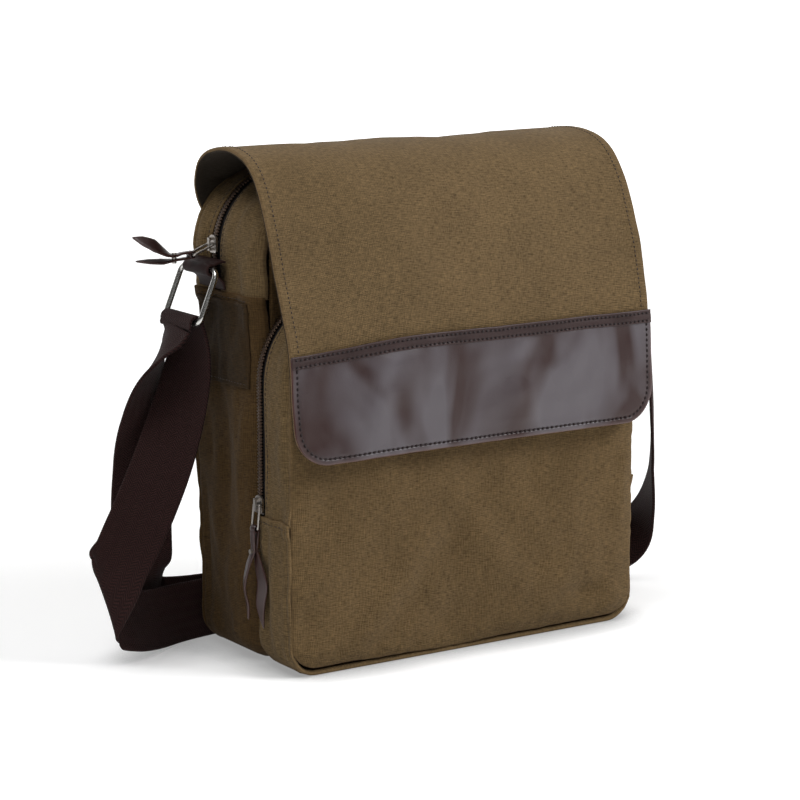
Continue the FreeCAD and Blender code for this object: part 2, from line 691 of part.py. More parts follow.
def strap_loop(name, bar, whole):
    """The webbing where it passes over a ring's lower bar; `whole` wraps it all round."""
    half, outer = mm("strap_width") / 2, LOOP_BORE + mm("strap_thick")
    start = bar - Y_AXIS * half
    shape = Part.makeCylinder(outer, 2 * half, start, Y_AXIS)
    shape = shape.cut(Part.makeCylinder(LOOP_BORE, 2 * half + 2, start - Y_AXIS, Y_AXIS))
    if not whole:
        shape = shape.common(Part.makeBox(40, 80, 40, bar + Vector(-20, -40, -0.2)))
    feature(name, shape)


def strap():
    strap_loop("strap_loop_left", low_bar(-1, dim("ring_tilt")), whole=False)
    strap_loop("strap_loop_right", low_bar(1, dim("ring_tilt_right")), whole=True)
    webbing("strap_right", STRAP_RIGHT)
    webbing("strap_left", STRAP_LEFT)
    webbing("strap_tail_upper", STRAP_TAIL_UPPER)
    webbing("strap_tail_end", STRAP_TAIL_END)


def adjuster():
    """Three-bar slide: a flat frame with two slots, standing on its edge behind the bag."""
    long, thick, y_back, x_middle, z_low = 30.0, 3.0, 67.3, 20.0, 0.3
    slot, bar, tall = 8.5, 4.0, dim("strap_width") + 1.0
    high = tall + 8.0
    body = pad_body("adjuster_frame", [(long, high, 4.0, 4.0)], thick)
    place(body, x_middle, y_back, z_low)
    slots = doc.addObject("Part::MultiFuse", "adjuster_slots")
    slots.Shapes = [
        box(f"adjuster_slot_{word}", x, y_back - thick - 1.0, z_low + 4.0, slot, thick + 2.0, tall)
        for word, x in (("left", x_middle - bar / 2 - slot), ("right", x_middle + bar / 2))
    ]
    cut = doc.addObject("Part::Cut", "adjuster_cut")
    cut.Base = body
    cut.Tool = slots
    finish(cut, "strap_adjuster")


main_panels()
zip_parts("main", MAIN_H, dim("main_zip_y"), MAIN_BACK, MAIN_FRONT, dim("main_seam_z"))
zip_parts("pocket", POCKET_H, dim("pocket_zip_y"), POCKET_BACK, POCKET_FRONT, dim("pocket_seam_z"))
zip_stops()
lining("main", MAIN_H, MAIN_BACK, MAIN_FRONT)
lining("pocket", POCKET_H, POCKET_BACK, POCKET_FRONT)
base_board()
for word, hand, angle in (("left", -1, dim("ring_tilt")), ("right", 1, dim("ring_tilt_right"))):
    side_patch(f"side_patch_{word}", hand)
    tab(f"tab_{word}", hand)
    ring(f"ring_{word}", hand, angle)
main_pull()
pocket_pull()
flap()
snap()
strap()
adjuster()

doc.recompute()
broken = [o.Name for o in doc.Objects if "Invalid" in o.State or "Error" in o.State]
if broken:
    raise SystemExit(f"failed objects: {broken}")
for thing in subparts:
    if thing.Shape.isNull() or not thing.Shape.isValid():
        raise SystemExit(f"{thing.Label} has no valid shape")
os.makedirs("parts", exist_ok=True)
for old in os.listdir("parts"):
    os.remove(os.path.join("parts", old))
for thing in subparts:
    thing.Shape.exportStep(os.path.join("parts", f"{thing.Label}.step"))
    b = thing.Shape.BoundBox
    print(f"{thing.Label}: {b.XMin:.1f}..{b.XMax:.1f} {b.YMin:.1f}..{b.YMax:.1f} {b.ZMin:.1f}..{b.ZMax:.1f}"
          f" solids {len(thing.Shape.Solids)} volume {thing.Shape.Volume:.0f}")
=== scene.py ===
"""Visual model of an upright canvas messenger bag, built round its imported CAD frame."""

import math

import bpy
import numpy as np
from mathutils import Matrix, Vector, noise


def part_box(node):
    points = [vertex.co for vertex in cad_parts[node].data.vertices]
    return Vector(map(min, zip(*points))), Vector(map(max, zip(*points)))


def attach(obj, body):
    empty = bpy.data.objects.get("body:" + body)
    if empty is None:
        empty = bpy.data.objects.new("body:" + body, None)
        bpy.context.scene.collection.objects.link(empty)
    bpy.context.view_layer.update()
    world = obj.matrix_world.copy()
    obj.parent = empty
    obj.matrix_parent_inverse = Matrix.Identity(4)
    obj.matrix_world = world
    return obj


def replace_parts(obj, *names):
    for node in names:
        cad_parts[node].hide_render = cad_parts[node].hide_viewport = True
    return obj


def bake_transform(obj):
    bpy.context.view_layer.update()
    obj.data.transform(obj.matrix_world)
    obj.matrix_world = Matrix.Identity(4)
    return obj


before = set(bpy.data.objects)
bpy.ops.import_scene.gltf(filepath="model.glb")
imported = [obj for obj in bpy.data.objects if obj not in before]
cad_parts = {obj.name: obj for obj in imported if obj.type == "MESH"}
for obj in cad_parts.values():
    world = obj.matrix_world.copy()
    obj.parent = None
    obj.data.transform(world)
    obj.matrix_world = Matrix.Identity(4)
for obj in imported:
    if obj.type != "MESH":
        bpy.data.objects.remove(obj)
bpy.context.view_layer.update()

MM = 0.001

# ---- camera, light and floor

AZIMUTH, ELEVATION, DISTANCE = math.radians(33.46), math.radians(10.94), 1.7468
TARGET = Vector((-0.01434, 0.0, 0.15181))
LENS, SENSOR = 123.74, 36.0


def make_camera():
    data = bpy.data.cameras.new("camera")
    data.lens = LENS
    data.sensor_width = SENSOR
    data.clip_end = 20.0
    camera = bpy.data.objects.new("camera", data)
    bpy.context.scene.collection.objects.link(camera)
    back = Vector((
        -math.sin(AZIMUTH) * math.cos(ELEVATION),
        -math.cos(AZIMUTH) * math.cos(ELEVATION),
        math.sin(ELEVATION),
    ))
    camera.location = TARGET + back * DISTANCE
    camera.rotation_mode = "QUATERNION"
    camera.rotation_quaternion = (-back).to_track_quat("-Z", "Y")
    bpy.context.scene.camera = camera


def area_light(name, place, size, power):
    data = bpy.data.lights.new(name, "AREA")
    data.shape = "RECTANGLE"
    data.size, data.size_y = size
    data.energy = power
    light = bpy.data.objects.new(name, data)
    light.location = place
    light.rotation_mode = "QUATERNION"
    light.rotation_quaternion = (Vector((0, 0, 0.15)) - Vector(place)).to_track_quat("-Z", "Y")
    bpy.context.scene.collection.objects.link(light)


def make_studio():
    world = bpy.data.worlds.new("studio")
    bpy.context.scene.world = world
    world.use_nodes = True
    background = world.node_tree.nodes["Background"]
    background.inputs["Color"].default_value = (1, 1, 1, 1)
    background.inputs["Strength"].default_value = 0.1
    area_light("key", (1.15, -1.15, 1.35), (0.9, 0.8), 36.0)
    area_light("fill", (-0.9, -1.5, 1.3), (0.9, 0.9), 2.0)
    area_light("top", (-0.75, -0.1, 1.9), (1.2, 0.9), 22.0)
    bpy.context.scene.view_settings.view_transform = "Standard"


make_camera()
make_studio()

# ---- materials


class Graph:
    """A material's node tree with short calls for what the materials below need."""

    def __init__(self, name):
        self.material = bpy.data.materials.new(name)
        self.material.use_nodes = True
        self.tree = self.material.node_tree
        self.shader = self.tree.nodes["Principled BSDF"]

    def node(self, kind, inputs=None, **settings):
        made = self.tree.nodes.new(kind)
        for key, value in settings.items():
            setattr(made, key, value)
        for key, value in (inputs or {}).items():
            self.put(value, made.inputs[key])
        return made

    def link(self, source, target):
        self.tree.links.new(source, target)

    def put(self, value, socket):
        """Gives a socket a number, a colour or another node's output."""
        if isinstance(value, (int, float)):
            socket.default_value = value
        elif isinstance(value, tuple):
            socket.default_value = (*value, 1.0)
        else:
            self.link(value, socket)

    def mapped(self, vector, scale):
        mapping = self.node("ShaderNodeMapping", {"Vector": vector})
        mapping.inputs["Scale"].default_value = scale
        return mapping.outputs[0]

    def uv(self, scale=(1, 1, 1)):
        return self.mapped(self.node("ShaderNodeUVMap", uv_map="UVMap").outputs[0], scale)

    def object_space(self, scale=(1, 1, 1)):
        return self.mapped(self.node("ShaderNodeTexCoord").outputs["Object"], scale)

    def noise(self, vector, scale, detail=3.0, rough=0.55, distortion=0.0):
        settings = {"Scale": scale, "Detail": detail, "Roughness": rough, "Distortion": distortion}
        return self.node("ShaderNodeTexNoise", {**settings, "Vector": vector}).outputs["Fac"]

    def wave(self, vector, pitch, direction, distortion=0.0, detail=2.0, detail_scale=1.0):
        """Bands a pitch apart, in metres."""
        settings = {"Scale": 2 * math.pi / (20 * pitch), "Distortion": distortion, "Detail": detail,
                    "Detail Scale": detail_scale, "Vector": vector}
        return self.node("ShaderNodeTexWave", settings, bands_direction=direction).outputs["Fac"]

    def math(self, operation, a, b):
        return self.node("ShaderNodeMath", {0: a, 1: b}, operation=operation).outputs[0]

    def add(self, a, b):
        return self.math("ADD", a, b)

    def times(self, a, b):
        return self.math("MULTIPLY", a, b)

    def spread(self, value, low, high, to_low=0.0, to_high=1.0):
        """The value with low and high moved to to_low and to_high, and kept between them."""
        settings = {"From Min": low, "From Max": high, "To Min": to_low, "To Max": to_high, "Value": value}
        return self.node("ShaderNodeMapRange", settings).outputs[0]

    def mix(self, share, a, b, blend="MIX"):
        colours = {0: share, 6: a, 7: b}  # the node's factor and its two colours
        return self.node("ShaderNodeMix", colours, data_type="RGBA", blend_type=blend).outputs[2]

    def shade(self, base, tone):
        """The base colour made lighter or darker by a number."""
        grey = self.node("ShaderNodeCombineColor")
        for socket in grey.inputs:
            self.link(tone, socket)
        return self.mix(1.0, base, grey.outputs[0], "MULTIPLY")

    def attribute(self, name):
        return self.node("ShaderNodeAttribute", attribute_name=name).outputs["Fac"]

    def bump(self, height, strength, distance, below=None):
        settings = {"Strength": strength, "Distance": distance, "Height": height}
        if below is not None:
            settings["Normal"] = below
        return self.node("ShaderNodeBump", settings).outputs[0]

    def finish(self, colour=None, roughness=None, normal=None, **constants):
        for socket, value in (("Base Color", colour), ("Roughness", roughness), ("Normal", normal)):
            if value is not None:
                self.put(value, self.shader.inputs[socket])
        for key, value in constants.items():
            self.shader.inputs[key.replace("_", " ")].default_value = value
        return self.material


def scaled(colour, shares):
    return tuple(min(1.0, c * k) for c, k in zip(colour, shares))


def canvas_material(name, base, pitch=0.00105, contrast=1.15):
    """Washed heavy cotton: a plain weave with uneven yarns, soft mottling and paler worn edges."""
    g = Graph(name)
    uv = g.uv()
    warp = g.wave(uv, pitch, "X", 2.0, 2.0, 0.35)
    weft = g.wave(uv, pitch, "Y", 2.0, 2.0, 0.35)
    weave = g.times(g.add(warp, weft), 0.5)
    slub_across = g.noise(g.uv((230, 1300, 1)), 1.0, 2.0, 0.55)
    slub_along = g.noise(g.uv((1300, 260, 1)), 1.0, 2.0, 0.55)
    slubs = g.add(g.times(slub_across, 0.6), g.times(slub_along, 0.4))
    mottle = g.noise(g.uv(), 34.0, 4.0, 0.6)
    wash = g.noise(g.uv(), 9.0, 3.0, 0.6)
    tone = g.add(g.spread(slubs, 0.36, 0.64, 1 - 0.34 * contrast, 1 + 0.34 * contrast),
                 g.spread(weave, 0.0, 1.0, -0.2 * contrast, 0.2 * contrast))
    tone = g.times(tone, g.spread(mottle, 0.3, 0.7, 0.92, 1.08))
    tone = g.times(tone, g.spread(wash, 0.3, 0.7, 0.94, 1.06))
    colour = g.shade(base, tone)
    warm = scaled(base, (1.5, 1.45, 1.5))
    worn = g.times(g.attribute("wear"), g.spread(mottle, 0.3, 0.7, 0.35, 0.85))
    colour = g.mix(worn, colour, warm)
    height = g.add(g.times(weave, 0.6), g.times(slubs, 0.8))
    normal = g.bump(height, 0.8, 0.0005)
    normal = g.bump(g.noise(g.uv(), 60.0, 4.0, 0.6), 0.25, 0.0012, normal)
    return g.finish(colour, 0.93, normal, Sheen_Weight=0.03, Sheen_Roughness=0.5, Specular_IOR_Level=0.1)


def webbing_material(name, base):
    """Herringbone webbing: diagonal ribs that change direction in bands across the width."""
    rib_pitch, yarn_pitch, band = 0.0018, 0.0011, 0.0033
    g = Graph(name)
    split = g.node("ShaderNodeSeparateXYZ")
    g.link(g.uv(), split.inputs[0])
    across, along = split.outputs[0], split.outputs[1]
    zigzag = g.math("PINGPONG", across, band)
    slant = g.add(along, g.times(zigzag, 0.9))
    rib = g.math("SINE", g.times(slant, 2 * math.pi / rib_pitch), 0)
    yarn = g.math("SINE", g.times(across, 2 * math.pi / yarn_pitch), 0)
    pattern = g.add(g.times(rib, 0.35), g.times(yarn, 0.15))
    fuzz = g.noise(g.uv((800, 800, 1)), 1.0, 2.0, 0.6)
    height = g.add(g.add(pattern, 0.5), g.times(fuzz, 0.5))
    tone = g.spread(height, 0.2, 1.3, 0.3, 1.95)
    colour = g.shade(base, tone)
    return g.finish(colour, 0.85, g.bump(height, 0.7, 0.0005), Sheen_Weight=0.03, Specular_IOR_Level=0.15)


def leather_material(name, base, worn, rough, gloss=0.5, coat=0.12, clouds_and_painted_sheen=(1.4, 1.4, 1.4)):
    """Waxed leather with a fine pebble, clouded colour and paler rubbed edges; on the band the pale clouds
    are painted sheen.
    """
    grain, deep = 900.0, (0.75, 0.4, 0.34)
    g = Graph(name)
    clouds = g.noise(g.uv((22, 11, 1)), 1.0, 2.0, 0.5, 0.8)
    streaks = g.noise(g.uv((60, 22, 1)), 1.0, 4.0, 0.6, 1.0)
    pebble = g.node("ShaderNodeTexVoronoi", {"Scale": grain}, feature="DISTANCE_TO_EDGE")
    g.link(g.uv(), pebble.inputs["Vector"])
    fine = g.noise(g.uv(), grain * 0.8, 3.0, 0.6)
    # the pale clouds mixed in here are painted sheen on the band, and a milder lighter tone on the other
    # leathers
    share = g.spread(clouds, 0.4, 0.62, 0.0, 1.0)
    colour = g.mix(share, scaled(base, deep), scaled(base, clouds_and_painted_sheen))
    rub = g.times(g.attribute("wear"), g.spread(streaks, 0.3, 0.7, 0.55, 1.0))
    colour = g.mix(rub, colour, worn)
    roughness = g.spread(streaks, 0.3, 0.7, rough - 0.07, rough + 0.09)
    height = g.math("MINIMUM", pebble.outputs["Distance"], 0.25)
    height = g.add(height, g.times(fine, 0.35))
    normal = g.bump(height, 0.25, 0.0003)
    normal = g.bump(g.noise(g.uv(), 120.0, 4.0, 0.6), 0.12, 0.0015, normal)
    return g.finish(colour, roughness, normal, Specular_IOR_Level=gloss, Coat_Weight=coat, Coat_Roughness=0.3)


def metal_material(name, base, rough, scratches=0.06):
    g = Graph(name)
    patina = g.noise(g.object_space(), 420.0, 4.0, 0.65)
    lines = g.noise(g.object_space((900, 900, 120)), 1.0, 3.0, 0.6)
    colour = g.mix(g.spread(patina, 0.35, 0.7, 0.0, 1.0), base, scaled(base, (0.75,) * 3))
    roughness = g.spread(patina, 0.3, 0.7, rough - 0.05, rough + 0.12)
    return g.finish(colour, roughness, g.bump(lines, scratches, 0.0002), Metallic=1.0)


def thread_material(name, base):
    """Waxed sewing thread: two twisted plies."""
    g = Graph(name)
    twist = g.wave(g.uv(), 0.0009, "DIAGONAL")
    colour = g.mix(twist, scaled(base, (0.7,) * 3), scaled(base, (1.3,) * 3))
    return g.finish(colour, 0.6, g.bump(twist, 0.4, 0.0002), Specular_IOR_Level=0.35)


def tape_material(name, base):
    """Zip tape: a tight ribbed weave."""
    g = Graph(name)
    ribs = g.wave(g.uv(), 0.0008, "DIAGONAL")
    fuzz = g.noise(g.uv(), 900.0, 2.0, 0.6)
    colour = g.mix(g.times(ribs, fuzz), scaled(base, (0.7,) * 3), scaled(base, (1.8,) * 3))
    return g.finish(colour, 0.8, g.bump(ribs, 0.4, 0.0003), Specular_IOR_Level=0.25)


RUBBED = (0.1, 0.055, 0.05)
MATERIALS = {
    "canvas": canvas_material("canvas", (0.112, 0.074, 0.035)),
    "canvas_front": canvas_material("canvas_front", (0.101, 0.065, 0.029)),
    "canvas_side": canvas_material("canvas_side", (0.112, 0.074, 0.034)),
    # canvas darkened as painted shade, for the main compartment's lower boxing and its recessed front
    "canvas_low": canvas_material("canvas_low", (0.057, 0.0325, 0.0118)),
    # canvas darkened as painted shade, for the side patches in the shadow of the tabs, strap and flap
    "patch_painted_shade": canvas_material("patch_painted_shade", (0.03, 0.0175, 0.007)),
    "lining": canvas_material("lining_cloth", (0.035, 0.026, 0.018), 0.0006, 0.7),
    "webbing": webbing_material("webbing", (0.0175, 0.0062, 0.0055)),
    # the band's pale grey-lilac clouds are painted sheen over its dark brown leather
    "band": leather_material("band_leather", (0.032, 0.02, 0.02), RUBBED, 0.38, 0.42, 0.06, (2.6, 3.6, 4.0)),
    "strip": leather_material("strip_leather", (0.022, 0.0105, 0.0098), (0.05, 0.026, 0.024), 0.5, 0.28),
    "band_edge": leather_material("band_edge_leather", (0.07, 0.037, 0.032), RUBBED, 0.5, 0.3),
    "tab": leather_material("tab_leather", (0.013, 0.0055, 0.005), (0.03, 0.014, 0.012), 0.62, 0.12, 0.0),
    "lace": leather_material("lace_leather", (0.026, 0.010, 0.0085), (0.07, 0.03, 0.024), 0.4),
    "ring": metal_material("ring_nickel", (0.62, 0.61, 0.58), 0.2, 0.01),
    "zip_metal": metal_material("zip_antique", (0.12, 0.082, 0.06), 0.4, 0.05),
    "slider": metal_material("slider_antique", (0.4, 0.37, 0.34), 0.28, 0.03),
    "thread_dark": thread_material("thread_dark", (0.012, 0.005, 0.005)),
    "thread_canvas": thread_material("thread_canvas", (0.03, 0.018, 0.01)),
    "tape": tape_material("zip_tape_cloth", (0.01, 0.008, 0.008)),
}

# ---- mesh building


def unit(vectors):
    return vectors / np.maximum(np.linalg.norm(vectors, axis=-1, keepdims=True), 1e-9)


def walked(line):
    """How far along a line of points each of them is."""
    return np.concatenate([[0], np.cumsum(np.linalg.norm(np.diff(line, axis=0), axis=1))])


def upright(x, z):
    """Points x across and z up, in the plane y = 0."""
    return np.stack([x, 0 * x, z], -1)


def within(a, b, low_a, high_a, low_b, high_b):
    """Distance inside a rectangle of a and b."""
    return np.minimum(np.minimum(a - low_a, high_a - a), np.minimum(b - low_b, high_b - b))


def rubbed(edge, most, reach):
    """Wear that fades inward from an edge."""
    return most * np.exp(-np.maximum(edge, 0) / reach)


def drum_faces(count, rings, sides, caps):
    """Faces of equal little drums, one after another: their walls ring by ring, and caps at both ends."""
    r, a = np.meshgrid(np.arange(rings - 1), np.arange(sides), indexing="ij")
    after = (a + 1) % sides
    wall = np.stack([r * sides + a, r * sides + after, (r + 1) * sides + after, (r + 1) * sides + a], -1)
    base = (np.arange(count) * rings * sides)[:, None, None]
    return np.concatenate([wall.reshape(1, -1, 4), np.array(caps)[None]], 1) + base


class Piece:
    """Collects parts, each in millimetres with flat cloth coordinates, and makes one mesh of them."""

    def __init__(self, name):
        self.name = name
        self.points, self.flat, self.wear, self.faces, self.slots, self.used = [], [], [], [], [], []
        self.count = 0

    def add(self, points, faces, flat, material, wear=None):
        if material not in self.used:
            self.used.append(material)
        self.points.append(np.asarray(points, float))
        self.flat.append(np.asarray(flat, float))
        self.wear.append(np.zeros(len(points)) if wear is None else np.asarray(wear, float))
        self.faces.append(np.asarray(faces, int) + self.count)
        self.slots.append(np.full(len(faces), self.used.index(material)))
        self.count += len(points)
        return self

    def make(self, slot, body=None):
        points = np.concatenate(self.points) * MM
        flat = np.concatenate(self.flat) * MM
        faces = np.concatenate(self.faces)
        keep = np.array([len(set(f)) >= 3 for f in faces.tolist()])
        faces = faces[keep]
        slots = np.concatenate(self.slots)[keep]
        mesh = bpy.data.meshes.new(self.name)
        mesh.from_pydata(points.tolist(), [], [list(dict.fromkeys(f)) for f in faces.tolist()])
        layer = mesh.uv_layers.new(name="UVMap")
        corner = np.empty(len(mesh.loops), int)
        mesh.loops.foreach_get("vertex_index", corner)
        layer.data.foreach_set("uv", flat[corner].astype(np.float32).ravel())
        wear = mesh.attributes.new("wear", "FLOAT", "POINT")
        wear.data.foreach_set("value", np.concatenate(self.wear).astype(np.float32))
        for key in self.used:
            mesh.materials.append(MATERIALS[key])
        mesh.polygons.foreach_set("material_index", slots.astype(np.int32))
        mesh.polygons.foreach_set("use_smooth", np.ones(len(mesh.polygons), bool))
        mesh.validate()
        mesh.update()
        made = bpy.data.objects.new(self.name, mesh)
        bpy.context.scene.collection.objects.link(made)
        if body:
            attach(made, body)
        return made


def grid_normals(points, closed=False):
    """Unit normals of an n by m grid of points."""
    if closed:
        du = np.roll(points, -1, 0) - np.roll(points, 1, 0)
    else:
        du = np.gradient(points, axis=0)
    dv = np.gradient(points, axis=1)
    return unit(np.cross(du, dv))


def cloth(piece, points, half, flat, material, wear=0.0, closed=False):
    """A skin about an n by m grid: half is each point's half thickness, 0 along the open edges."""
    n, m = points.shape[:2]
    normal = grid_normals(points, closed)
    half = np.broadcast_to(half, (n, m))[..., None]
    top = (points + normal * half).reshape(-1, 3)
    low = (points - normal * half).reshape(-1, 3)
    index = np.arange(n * m).reshape(n, m)
    edge = np.zeros((n, m), bool)
    edge[:, [0, -1]] = True
    if not closed:
        edge[[0, -1], :] = True
    under = np.where(edge, index, index + n * m)
    if closed:
        index, under = np.vstack([index, index[:1]]), np.vstack([under, under[:1]])

    def quads(i):
        return np.stack([i[:-1, :-1], i[1:, :-1], i[1:, 1:], i[:-1, 1:]], -1).reshape(-1, 4)

    flats = np.tile(flat.reshape(-1, 2), (2, 1))
    worn = np.tile(np.broadcast_to(wear, (n, m)).ravel(), 2)
    return piece.add(np.concatenate([top, low]), np.concatenate([quads(index), quads(under)[:, ::-1]]), flats,
                     material, worn)


def rounded_half(distance, thick):
    """Half thickness that rounds off to nothing at an edge, as a folded edge does."""
    radius = thick / 2
    share = 1 - np.clip(distance / radius, 0, 1)
    return radius * np.sqrt(np.maximum(1 - share * share, 0))


def stations(low, high, step, fine=(0.0, 0.12, 0.4, 0.8, 1.3, 2.0, 3.0, 4.5, 6.0)):
    """Places from low to high, closer together by both ends."""
    span = high - low
    fine = [f for f in fine if f < span / 2]
    count = max(2, int(round((span - 2 * fine[-1]) / step)))
    middle = np.linspace(low + fine[-1], high - fine[-1], count + 1)
    every = np.concatenate([[low + f for f in fine], middle, [high - f for f in fine]])
    every = np.unique(np.round(every, 4))
    return every[np.concatenate([[True], np.diff(every) > span * 1e-4])]


def field(points, scale, seed, octaves=3):
    """Smooth noise, about -1 to 1, at each of an array of points."""
    shape = points.shape[:-1]
    shift = np.array([seed * 13.7, seed * -7.9, seed * 3.3])
    spots = (points.reshape(-1, 3) / scale + shift).tolist()
    values = [noise.fractal(p, 0.8, 2.1, octaves) for p in spots]
    return np.array(values).reshape(shape) * 1.6


def strip_grid(line, across, y):
    """Grid of a strip that follows a line of x, z and lies across it along y."""
    return np.stack([np.repeat(line[:, :1], len(across), 1), np.repeat(y + across[None], len(line), 0),
                     np.repeat(line[:, 1:], len(across), 1)], -1)


def bell(x, middle, width):
    return np.exp(-(((x - middle) / width) ** 2))


def ease(x, low, high):
    t = np.clip((x - low) / (high - low), 0, 1)
    return t * t * (3 - 2 * t)


def stitch_row(piece, line, normal, material, pitch, length, radius, lift):
    """Thread stitches along a line of points, each dipping into the cloth at both ends."""
    line, normal = np.asarray(line, float), np.asarray(normal, float)
    walk = walked(line)
    count = int(walk[-1] / pitch)
    if count < 1:
        return piece
    starts = (np.arange(count) + 0.5) * walk[-1] / count
    along = np.linspace(-0.5, 0.5, 5)
    where = (starts[:, None] + along[None, :] * length).ravel()

    def at(values, s):
        return np.stack([np.interp(s, walk, values[:, k]) for k in range(3)], -1)

    centre = at(line, where).reshape(count, 5, 3)
    up = unit(at(normal, where).reshape(count, 5, 3))
    ahead = np.broadcast_to(unit((centre[:, -1] - centre[:, 0])[:, None, :]), centre.shape)
    side = np.cross(ahead, up)
    rise = lift * (1 - (np.abs(along) * 2) ** 3 * 1.9)
    taper = np.array([0.55, 0.95, 1.0, 0.95, 0.55])
    angles = np.arange(6) * math.pi / 3
    ring = (np.cos(angles)[None, None, :, None] * side[:, :, None, :]
            + np.sin(angles)[None, None, :, None] * up[:, :, None, :])
    points = (centre[:, :, None, :] + (up * rise[None, :, None])[:, :, None, :]
              + ring * (radius * taper)[None, :, None, None])
    points = points.reshape(-1, 3)
    caps = [[3, 2, 1, 0], [5, 4, 3, 0], [24, 25, 26, 27], [24, 27, 28, 29]]
    faces = drum_faces(count, 5, 6, caps).reshape(-1, 4)
    flat = np.stack([np.repeat(np.tile(along * length, count), 6) + np.repeat(starts, 30),
                     np.tile(angles * radius, count * 5)], -1)
    return piece.add(points, faces, flat, material)


def tube(piece, line, radius, material):
    """A round tube along a line of points, with closed ends."""
    sides = 8
    n = len(line)
    ahead = unit(np.gradient(line, axis=0))
    up = np.zeros((n, 3))
    guess = np.array([0.0, 1.0, 0.0]) if abs(ahead[0][1]) < 0.8 else np.array([1.0, 0, 0])
    for k in range(n):
        guess = guess - ahead[k] * guess.dot(ahead[k])
        guess /= max(np.linalg.norm(guess), 1e-9)
        up[k] = guess
    side = np.cross(ahead, up)
    angles = np.arange(sides) * 2 * math.pi / sides
    ring = np.cos(angles)[None, :, None] * side[:, None] + np.sin(angles)[None, :, None] * up[:, None]
    points = (line[:, None] + ring * radius).reshape(-1, 3)
    index = np.arange(n * sides).reshape(n, sides)
    index = np.concatenate([index, index[:, :1]], 1)
    faces = np.stack([index[:-1, :-1], index[:-1, 1:], index[1:, 1:], index[1:, :-1]], -1).reshape(-1, 4)
    walk = walked(line)
    flat = np.stack([np.repeat(walk, sides), np.tile(angles * radius, n)], -1)
    points = np.concatenate([points, line[[0, -1]]])
    flat = np.concatenate([flat, flat[[0, -1]]])
    first, last = n * sides, n * sides + 1
    fans = [[first, index[0, k + 1], index[0, k], first] for k in range(sides)]
    fans += [[last, index[n - 1, k], index[n - 1, k + 1], last] for k in range(sides)]
    return piece.add(points, np.concatenate([faces, np.array(fans)]), flat, material)


def smooth_line(points, per=14):
    """A Catmull-Rom line through the points."""
    p = np.asarray(points, float)
    p = np.vstack([2 * p[0] - p[1], p, 2 * p[-1] - p[-2]])
    t = np.linspace(0, 1, per, endpoint=False)[:, None]
    out = []
    for a, b, c, d in zip(p[:-3], p[1:-2], p[2:-1], p[3:]):
        bend, twist = 2 * a - 5 * b + 4 * c - d, 3 * b - a - 3 * c + d
        out.append(0.5 * (2 * b + (c - a) * t + bend * t**2 + twist * t**3))
    return np.vstack([*out, p[-2:-1]])


# ---- the bag's outline

HALF_W, TOP_R, FOOT_R = 130.0, 50.0, 18.0
MAIN_H, POCKET_H = 302.0, 229.0


class Rim:
    """The bag's outline from the front, walked from the middle of the bottom up the left side and round."""

    def __init__(self, height):
        def arc(side, z, r, a, b):
            angle = np.radians(np.linspace(a, b, 40))
            return np.stack([side * (HALF_W - r) + r * np.cos(angle), z + r * np.sin(angle)], -1)

        middle, top = np.zeros((1, 2)), height - TOP_R
        rough = np.concatenate([middle, arc(-1, FOOT_R, FOOT_R, 270, 180), arc(-1, top, TOP_R, 180, 90),
                                arc(1, top, TOP_R, 90, 0), arc(1, FOOT_R, FOOT_R, 0, -90), middle])
        walk = walked(rough)
        self.length = walk[-1]
        self.s = np.linspace(0, self.length, 2400)
        self.x = np.interp(self.s, walk, rough[:, 0])
        self.z = np.interp(self.s, walk, rough[:, 1])
        dx, dz = np.gradient(self.x), np.gradient(self.z)
        size = np.hypot(dx, dz)
        self.nx, self.nz = -dz / size, dx / size
        outward = np.sign(self.nx * self.x + self.nz * (self.z - height / 2))
        self.nx, self.nz = self.nx * outward, self.nz * outward

    def at(self, s):
        return [np.interp(s, self.s, v) for v in (self.x, self.z, self.nx, self.nz)]

    def left_at(self, z):
        """How far along the walk the left side reaches height z."""
        side = self.s < self.length / 2
        rising = side & (self.z > 0.5)
        return float(np.interp(z, self.z[rising], self.s[rising]))


def ribbon(rim, walk, depths, offset):
    """Grid of points on a band round the outline, standing offset(y, x, z) outside it."""
    s, y = np.meshgrid(walk, depths, indexing="ij")
    x, z, nx, nz = (v.reshape(s.shape) for v in rim.at(s.ravel()))
    out = offset(y, x, z)
    return np.stack([x + nx * out, y, z + nz * out], -1)


def flat_of(walk, depths):
    s, y = np.meshgrid(walk, depths, indexing="ij")
    return np.stack([y, s], -1)


def panel_grid(height, step, inset=0.0, low=0.0):
    """Flat x, z grid that fills the outline, with its rows closer together by the rounded corners."""
    half = HALF_W - inset
    bottom, top = low, height - inset
    foot, head = FOOT_R - min(inset, 4), TOP_R - inset
    turn = 1 - np.cos(np.linspace(0, math.pi / 2, 16))
    rows = np.concatenate([bottom + foot * turn, np.arange(bottom + foot, top - head, step),
                           top - head * turn[::-1]])
    rows = np.unique(np.round(rows, 3))
    rows = rows[np.concatenate([[True], np.diff(rows) > 0.05])]
    width = np.full(len(rows), half)
    near = rows < bottom + foot
    width[near] = half - foot + np.sqrt(np.maximum(foot**2 - (bottom + foot - rows[near]) ** 2, 0))
    near = rows > top - head
    width[near] = half - head + np.sqrt(np.maximum(head**2 - (rows[near] - top + head) ** 2, 0))
    fine = [f / half for f in (0, 0.15, 0.5, 1, 1.7, 2.6, 4, 6, 9, 12)]
    across = stations(-1, 1, step / half, fine=fine)
    x = width[:, None] * across[None, :]
    z = np.repeat(rows[:, None], len(across), 1)
    return x, z, rounded_distance(x, z, half, bottom, top, foot, head)


def rounded_distance(x, z, half, bottom, top, foot, head):
    """Distance inside a rectangle with one radius at its foot and another at its head."""
    middle = (bottom + top) / 2
    radius = np.where(z < middle, foot, head)
    qx = np.abs(x) - (half - radius)
    qz = np.abs(z - middle) - ((top - bottom) / 2 - radius)
    outside = np.hypot(np.maximum(qx, 0), np.maximum(qz, 0))
    return radius - outside - np.minimum(np.maximum(qx, qz), 0)


# ---- body: panels and boxing

